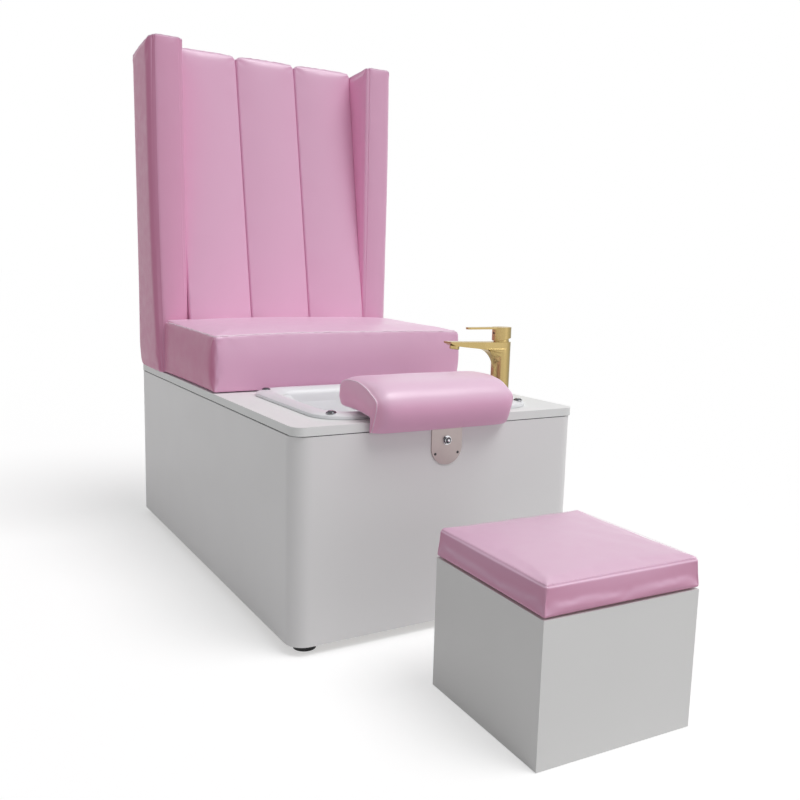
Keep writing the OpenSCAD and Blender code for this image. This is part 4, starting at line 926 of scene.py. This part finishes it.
def stool_pad():
    """The stool's cushion, and a row of slanted stitches along each of its top edges."""
    half = (165.4, 162.4, 26.9)

    def radius(n):
        return 4 + 3.5 * smooth(n[:, 2], 0.0, 0.8)

    p, faces, n, nor = block(half, radius, (6.5, 6.5, 5.0), r_max=8.0)
    q = p.copy()
    fx, fy = 1 - np.abs(n[:, 0]) ** 2.2, 1 - np.abs(n[:, 1]) ** 2.2
    up = np.clip((n[:, 2] + 1) / 2, 0, 1)
    top = up ** 3
    q[:, 2] += top * 5.0 * fx * fy
    belly = np.sin(up * math.pi)
    for a, f in ((0, fy), (1, fx)):
        away = smooth(np.abs(n[:, a]), 0.9, 1.0) * np.sign(n[:, a])
        q[:, a] += away * (3.4 * belly - 1.4) * f
    edge = bell(nor[:, 2] - 0.55, 0.12) * (nor[:, 2] > 0.2)
    q -= nor * (0.9 * edge)[:, None]
    slack = 0.35 * top * waves(p[:, 0] + 0.6 * p[:, 1], 9, 4, 40, 90)
    q += nor * slack[:, None] * np.clip(nor[:, 2], 0, 1)[:, None]
    q[:, 2] += STOOL_TOP + PAD_LIFT + half[2]
    obj = piece("stool_cushion_soft", stool(q), faces, "pink_leather", "stool_lid", mat=SHADED_STOOL_LEATHER,
                levels=1, replaces=["stool_cushion"])
    puff(obj, 3.0, n[:, 2] < -0.9, 0.003)
    z = STOOL_TOP + PAD_LIFT + 2 * half[2] - 1.6
    c, s = math.cos(STOOL_TURN), math.sin(STOOL_TURN)
    for name, ax, sgn in (("front", 1, -1), ("back", 1, 1), ("left", 0, -1), ("right", 0, 1)):
        path, nrm = [], []
        for t in np.linspace(-STITCH_END, STITCH_END, STITCH_COUNT):
            pos = [0, 0, z + 0.6 * (1 - t * t)]
            pos[ax] = sgn * (half[ax] - STITCH_IN)
            pos[1 - ax] = t * half[1 - ax]
            nn = [0, 0, 0.9]
            nn[ax] = sgn * 0.43
            path.append(pos)
            nrm.append(nn)
        nrm = [(c * a - s * b, s * a + c * b, d) for a, b, d in nrm]
        stitches(f"stool_stitch_{name}", stool(path), nrm, "pink_leather", "stool_lid", slant=24.0)


stool_pad()


# ---- basin -------------------------------------------------------------------------------------

def ring(a, b, r, n=16, m=16):
    """A round-cornered rectangle's points, the same number for any size. Known fault: the last
    side's points run backwards, so the basin's faces on its right side lie over each other."""
    out = []
    r = min(r, a, b)
    x, y = a - r, b - r
    for k in range(4):
        sx = 1 if k in (0, 3) else -1
        sy = 1 if k < 2 else -1
        for i in range(n + 1):
            w = math.radians(90 * (k + i / n))
            out.append((sx * x + r * math.cos(w), sy * y + r * math.sin(w)))
        for i in range(1, m):
            s = 1 - 2 * i / m
            out.append([(x * s, b), (-a, y * s), (-x * s, -b), (a, y * s)][k])
    return np.array(out)


LIP, BOWL_IN, BOWL_OUT = 26.0, 50.0, 1.5    # the lip's roll, and the bowl's inset from the rim
FLOOR_T = 5.0
DRAIN_R, DISH_R = 24.0, 35.5           # the drain's hole and the dish round it
RIM_ROWS = ((1.0, 0.15), (0.1, 0.7), (0.0, 2.0), (0.0, 6.0), (0.1, 7.4), (0.8, 8.0), (2.0, 8.3),
            (4.0, 9.2), (7.0, 10.6), (10.0, 11.7), (14.0, 12.5), (19.0, 12.9), (24.0, 13.0))


def basin():
    """The moulding, as rings from the rim's foot over the lip, down to the drain and back under it."""
    lo, hi = BASIN
    w, l = (hi[0] - lo[0]) / 2 / MM, (hi[1] - lo[1]) / 2 / MM
    cx, cy = (hi[0] + lo[0]) / 2 / MM, (hi[1] + lo[1]) / 2 / MM - CHAIR_Y / MM
    top, floor = hi[2] / MM, lo[2] / MM + FLOOR_T
    rows = []            # (half width, half length, corner radius, height)

    def row(inset, z, r=None):
        rows.append((w - inset, l - inset, max(78 - inset * 0.55, 20) if r is None else r, z))

    def circle(r, z):
        rows.append((r, r, r, z))

    for inset, rise in RIM_ROWS:
        row(inset, DECK + rise)
    for a in (8, 16, 25, 35, 45, 57, 72, 90):
        t = math.radians(a)
        row(BOWL_IN - LIP + LIP * math.sin(t) + BOWL_OUT * (a / 90), top - LIP * (1 - math.cos(t)))
    wall_top, wall_low = top - LIP - 3, floor + 30.0
    for i in range(1, 9):
        s = i / 8
        z = wall_top + (wall_low - wall_top) * s
        row(BOWL_IN + BOWL_OUT + 38.5 * s ** 1.1, z, 62 - 16 * s)
    for a in (15, 30, 45, 60, 75, 90):
        t = math.radians(a)
        row(BOWL_IN + 40.0 + 28 * math.sin(t), wall_low - 28.5 * (1 - math.cos(t)), 46 + 6 * math.sin(t))
    *base, height = rows[-1]
    for s, dz in ((0.25, 0.3), (0.5, 0.7), (0.75, 1.1), (0.93, 1.4), (1.0, 1.5)):
        rows.append((*(v + (DISH_R - v) * s for v in base), height - dz))
    circle(34.6, floor - 0.4)
    circle(DRAIN_R, floor - 0.3)
    circle(DRAIN_R - 0.6, floor - 4.2)
    # the underside, back out to the rim's foot
    circle(60, floor - 4.4)
    rows.append((w - 119, l - 119, 40, floor - 4.4))
    rows.append((w - 86, l - 86, 50, floor + 26))
    rows.append((w - 51, l - 51, 68, DECK - 4))
    rows.append((w - 44, l - 44, 66, DECK + 0.2))
    pts, faces = [], []
    for a, b, r, z in rows:
        for x, y in ring(a, b, r):
            pts.append((cx + x, cy + y, z))
    n = len(ring(100, 100, 10))
    count = len(rows)
    for i in range(count):
        j = (i + 1) % count
        for k in range(n):
            k1 = (k + 1) % n
            faces.append((i * n + k, i * n + k1, j * n + k1, j * n + k))
    piece("basin_moulding", chair(pts), faces, "basin_white", levels=1, replaces=["basin"])


basin()


# ---- tap's blend -------------------------------------------------------------------------------

TAP_H, SPOUT_W = 134.0, 34.0
FOOT_R, HEAD_R = 23.2, 24.0            # the column's radius at its foot and head
BLEND_OUT, BLEND_DROP = 61.0, 47.0     # how far along the spout and down the column the curve goes
SPOUT_LOW = 17.0                       # the spout's underside below the column's head
BLEND_ROWS, BACK_POINTS = 26, 17


def tap_blend():
    """The smooth curve from the column to the spout, a hair outside the solid's stepped one."""
    lo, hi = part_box("tap_body")
    foot, run = lo[2] / MM, BLEND_OUT - FOOT_R
    cx, cy = hi[0] / MM - HEAD_R, (lo[1] + hi[1]) / 2 / MM - CHAIR_Y / MM
    pts, faces = [], []
    for i in range(BLEND_ROWS):
        w = math.radians(90 * i / (BLEND_ROWS - 1))
        z = TAP_H - SPOUT_LOW - BLEND_DROP * (1 - math.cos(w)) - (0.8 if i else -1.0)
        reach = BLEND_OUT - run * math.sin(w) + 0.9
        share = min(1.0, max(0.0, (reach - FOOT_R) / run))
        width = SPOUT_W * math.sqrt(share) + 0.1 + 0.8 * math.sin(2 * w)
        r = FOOT_R + (HEAD_R - FOOT_R) * z / TAP_H - 0.12
        half = min(width / 2, r * 0.98)
        # tangent from the far edge's corner to the column's circle
        far = math.hypot(reach, half)
        turn = math.atan2(half, reach) + math.acos(min(1.0, r / far))
        touch = (r * math.cos(turn), r * math.sin(turn))
        side = [(reach, half * k / 6) for k in range(7)]
        for k in range(1, 11):
            side.append((reach + (touch[0] - reach) * k / 10, half + (touch[1] - half) * k / 10))
        side += [(r * math.cos(a), r * math.sin(a)) for a in np.linspace(turn, math.pi, BACK_POINTS)[1:]]
        loop = side + [(x, -y) for x, y in side[-2:0:-1]]
        for x, y in loop:
            pts.append((cx - x, cy + y, foot + z))
        count = len(loop)
    for i in range(BLEND_ROWS - 1):
        for k in range(count):
            k1 = (k + 1) % count
            faces.append((i * count + k, i * count + k1, (i + 1) * count + k1, (i + 1) * count + k))
    faces.append(tuple(range(count - 1, -1, -1)))
    faces.append(tuple((BLEND_ROWS - 1) * count + k for k in range(count)))
    piece("tap_blend", chair(pts), faces, "soft_gold")


tap_blend()


# ---- light, floor and camera -------------------------------------------------------------------

def seen_directly(tree, path):
    """1 for the camera, in reflections and through glass, 0 for the light on the object."""
    total = path.outputs["Is Camera Ray"]
    for name in ("Is Glossy Ray", "Is Transmission Ray"):
        more = tree.nodes.new("ShaderNodeMath")
        more.operation = "MAXIMUM"
        tree.links.new(total, more.inputs[0])
        tree.links.new(path.outputs[name], more.inputs[1])
        total = more.outputs[0]
    return total


FLOOR_HALF, FLOOR_DROP = 60.0, 0.0008
FLOOR_GREY, FLOOR_GLOW = 0.6, 0.5
LIT_WORLD, SEEN_WORLD = 0.33, 1.0      # the white world's strength, as light and as seen


def stage_floor():
    mesh = bpy.data.meshes.new("floor")
    s = FLOOR_HALF
    mesh.from_pydata([(-s, -s, 0), (s, -s, 0), (s, s, 0), (-s, s, 0)], [], [(0, 1, 2, 3)])
    floor = bpy.data.objects.new("floor", mesh)
    floor.location.z = -FLOOR_DROP
    scene.collection.objects.link(floor)
    mat = bpy.data.materials.new("floor_white")
    mat.use_nodes = True
    tree = mat.node_tree
    tree.nodes.clear()
    out = tree.nodes.new("ShaderNodeOutputMaterial")
    add = tree.nodes.new("ShaderNodeAddShader")
    diffuse = tree.nodes.new("ShaderNodeBsdfDiffuse")
    diffuse.inputs["Color"].default_value = (FLOOR_GREY, FLOOR_GREY, FLOOR_GREY, 1)
    glow = tree.nodes.new("ShaderNodeEmission")
    path = tree.nodes.new("ShaderNodeLightPath")
    level = tree.nodes.new("ShaderNodeMath")
    level.operation = "MULTIPLY"
    level.inputs[1].default_value = FLOOR_GLOW
    tree.links.new(seen_directly(tree, path), level.inputs[0])
    tree.links.new(level.outputs[0], glow.inputs["Strength"])
    tree.links.new(diffuse.outputs[0], add.inputs[0])
    tree.links.new(glow.outputs[0], add.inputs[1])
    tree.links.new(add.outputs[0], out.inputs["Surface"])
    mesh.materials.append(mat)


stage_floor()

world = bpy.data.worlds.new("studio")
scene.world = world
world.use_nodes = True
tree = world.node_tree
back = tree.nodes["Background"]
path = tree.nodes.new("ShaderNodeLightPath")
level = tree.nodes.new("ShaderNodeMapRange")
level.inputs["To Min"].default_value = LIT_WORLD
level.inputs["To Max"].default_value = SEEN_WORLD
tree.links.new(seen_directly(tree, path), level.inputs["Value"])
back.inputs["Color"].default_value = (1, 1, 1, 1)
tree.links.new(level.outputs["Result"], back.inputs["Strength"])


def sun(name, towards, strength, angle):
    """A lamp far away in one direction, as wide as angle in degrees."""
    data = bpy.data.lights.new(name, "SUN")
    data.energy = strength
    data.angle = math.radians(angle)
    obj = bpy.data.objects.new(name, data)
    obj.rotation_euler = Vector(towards).to_track_quat("Z", "Y").to_euler()
    scene.collection.objects.link(obj)


sun("key", (0.28, -0.36, 0.88), 1.75, 36)
sun("fill", (0.35, -0.92, 0.14), 0.15, 30)

CAMERA_X, CAMERA_Y, CAMERA_Z = -1.0003, -2.0942, 0.7765    # metres, Y from the chair's middle

cam = bpy.data.cameras.new("camera")
cam.lens = 38.47
cam.sensor_width = 36.0
camera = bpy.data.objects.new("camera", cam)
yaw, pitch, roll = math.radians(30.465), math.radians(8.569), math.radians(1.505)
forward = Vector((math.sin(yaw) * math.cos(pitch), math.cos(yaw) * math.cos(pitch), -math.sin(pitch)))
right = Vector((math.cos(yaw), -math.sin(yaw), 0))
up = right.cross(forward)
right2 = math.cos(roll) * right + math.sin(roll) * up
up2 = -math.sin(roll) * right + math.cos(roll) * up
turn = Matrix((right2, up2, -forward)).transposed()
camera.matrix_world = Matrix.Translation(Vector((CAMERA_X, CAMERA_Y + CHAIR_Y, CAMERA_Z))) @ turn.to_4x4()
scene.collection.objects.link(camera)
scene.camera = camera
scene.view_settings.view_transform = "Standard"
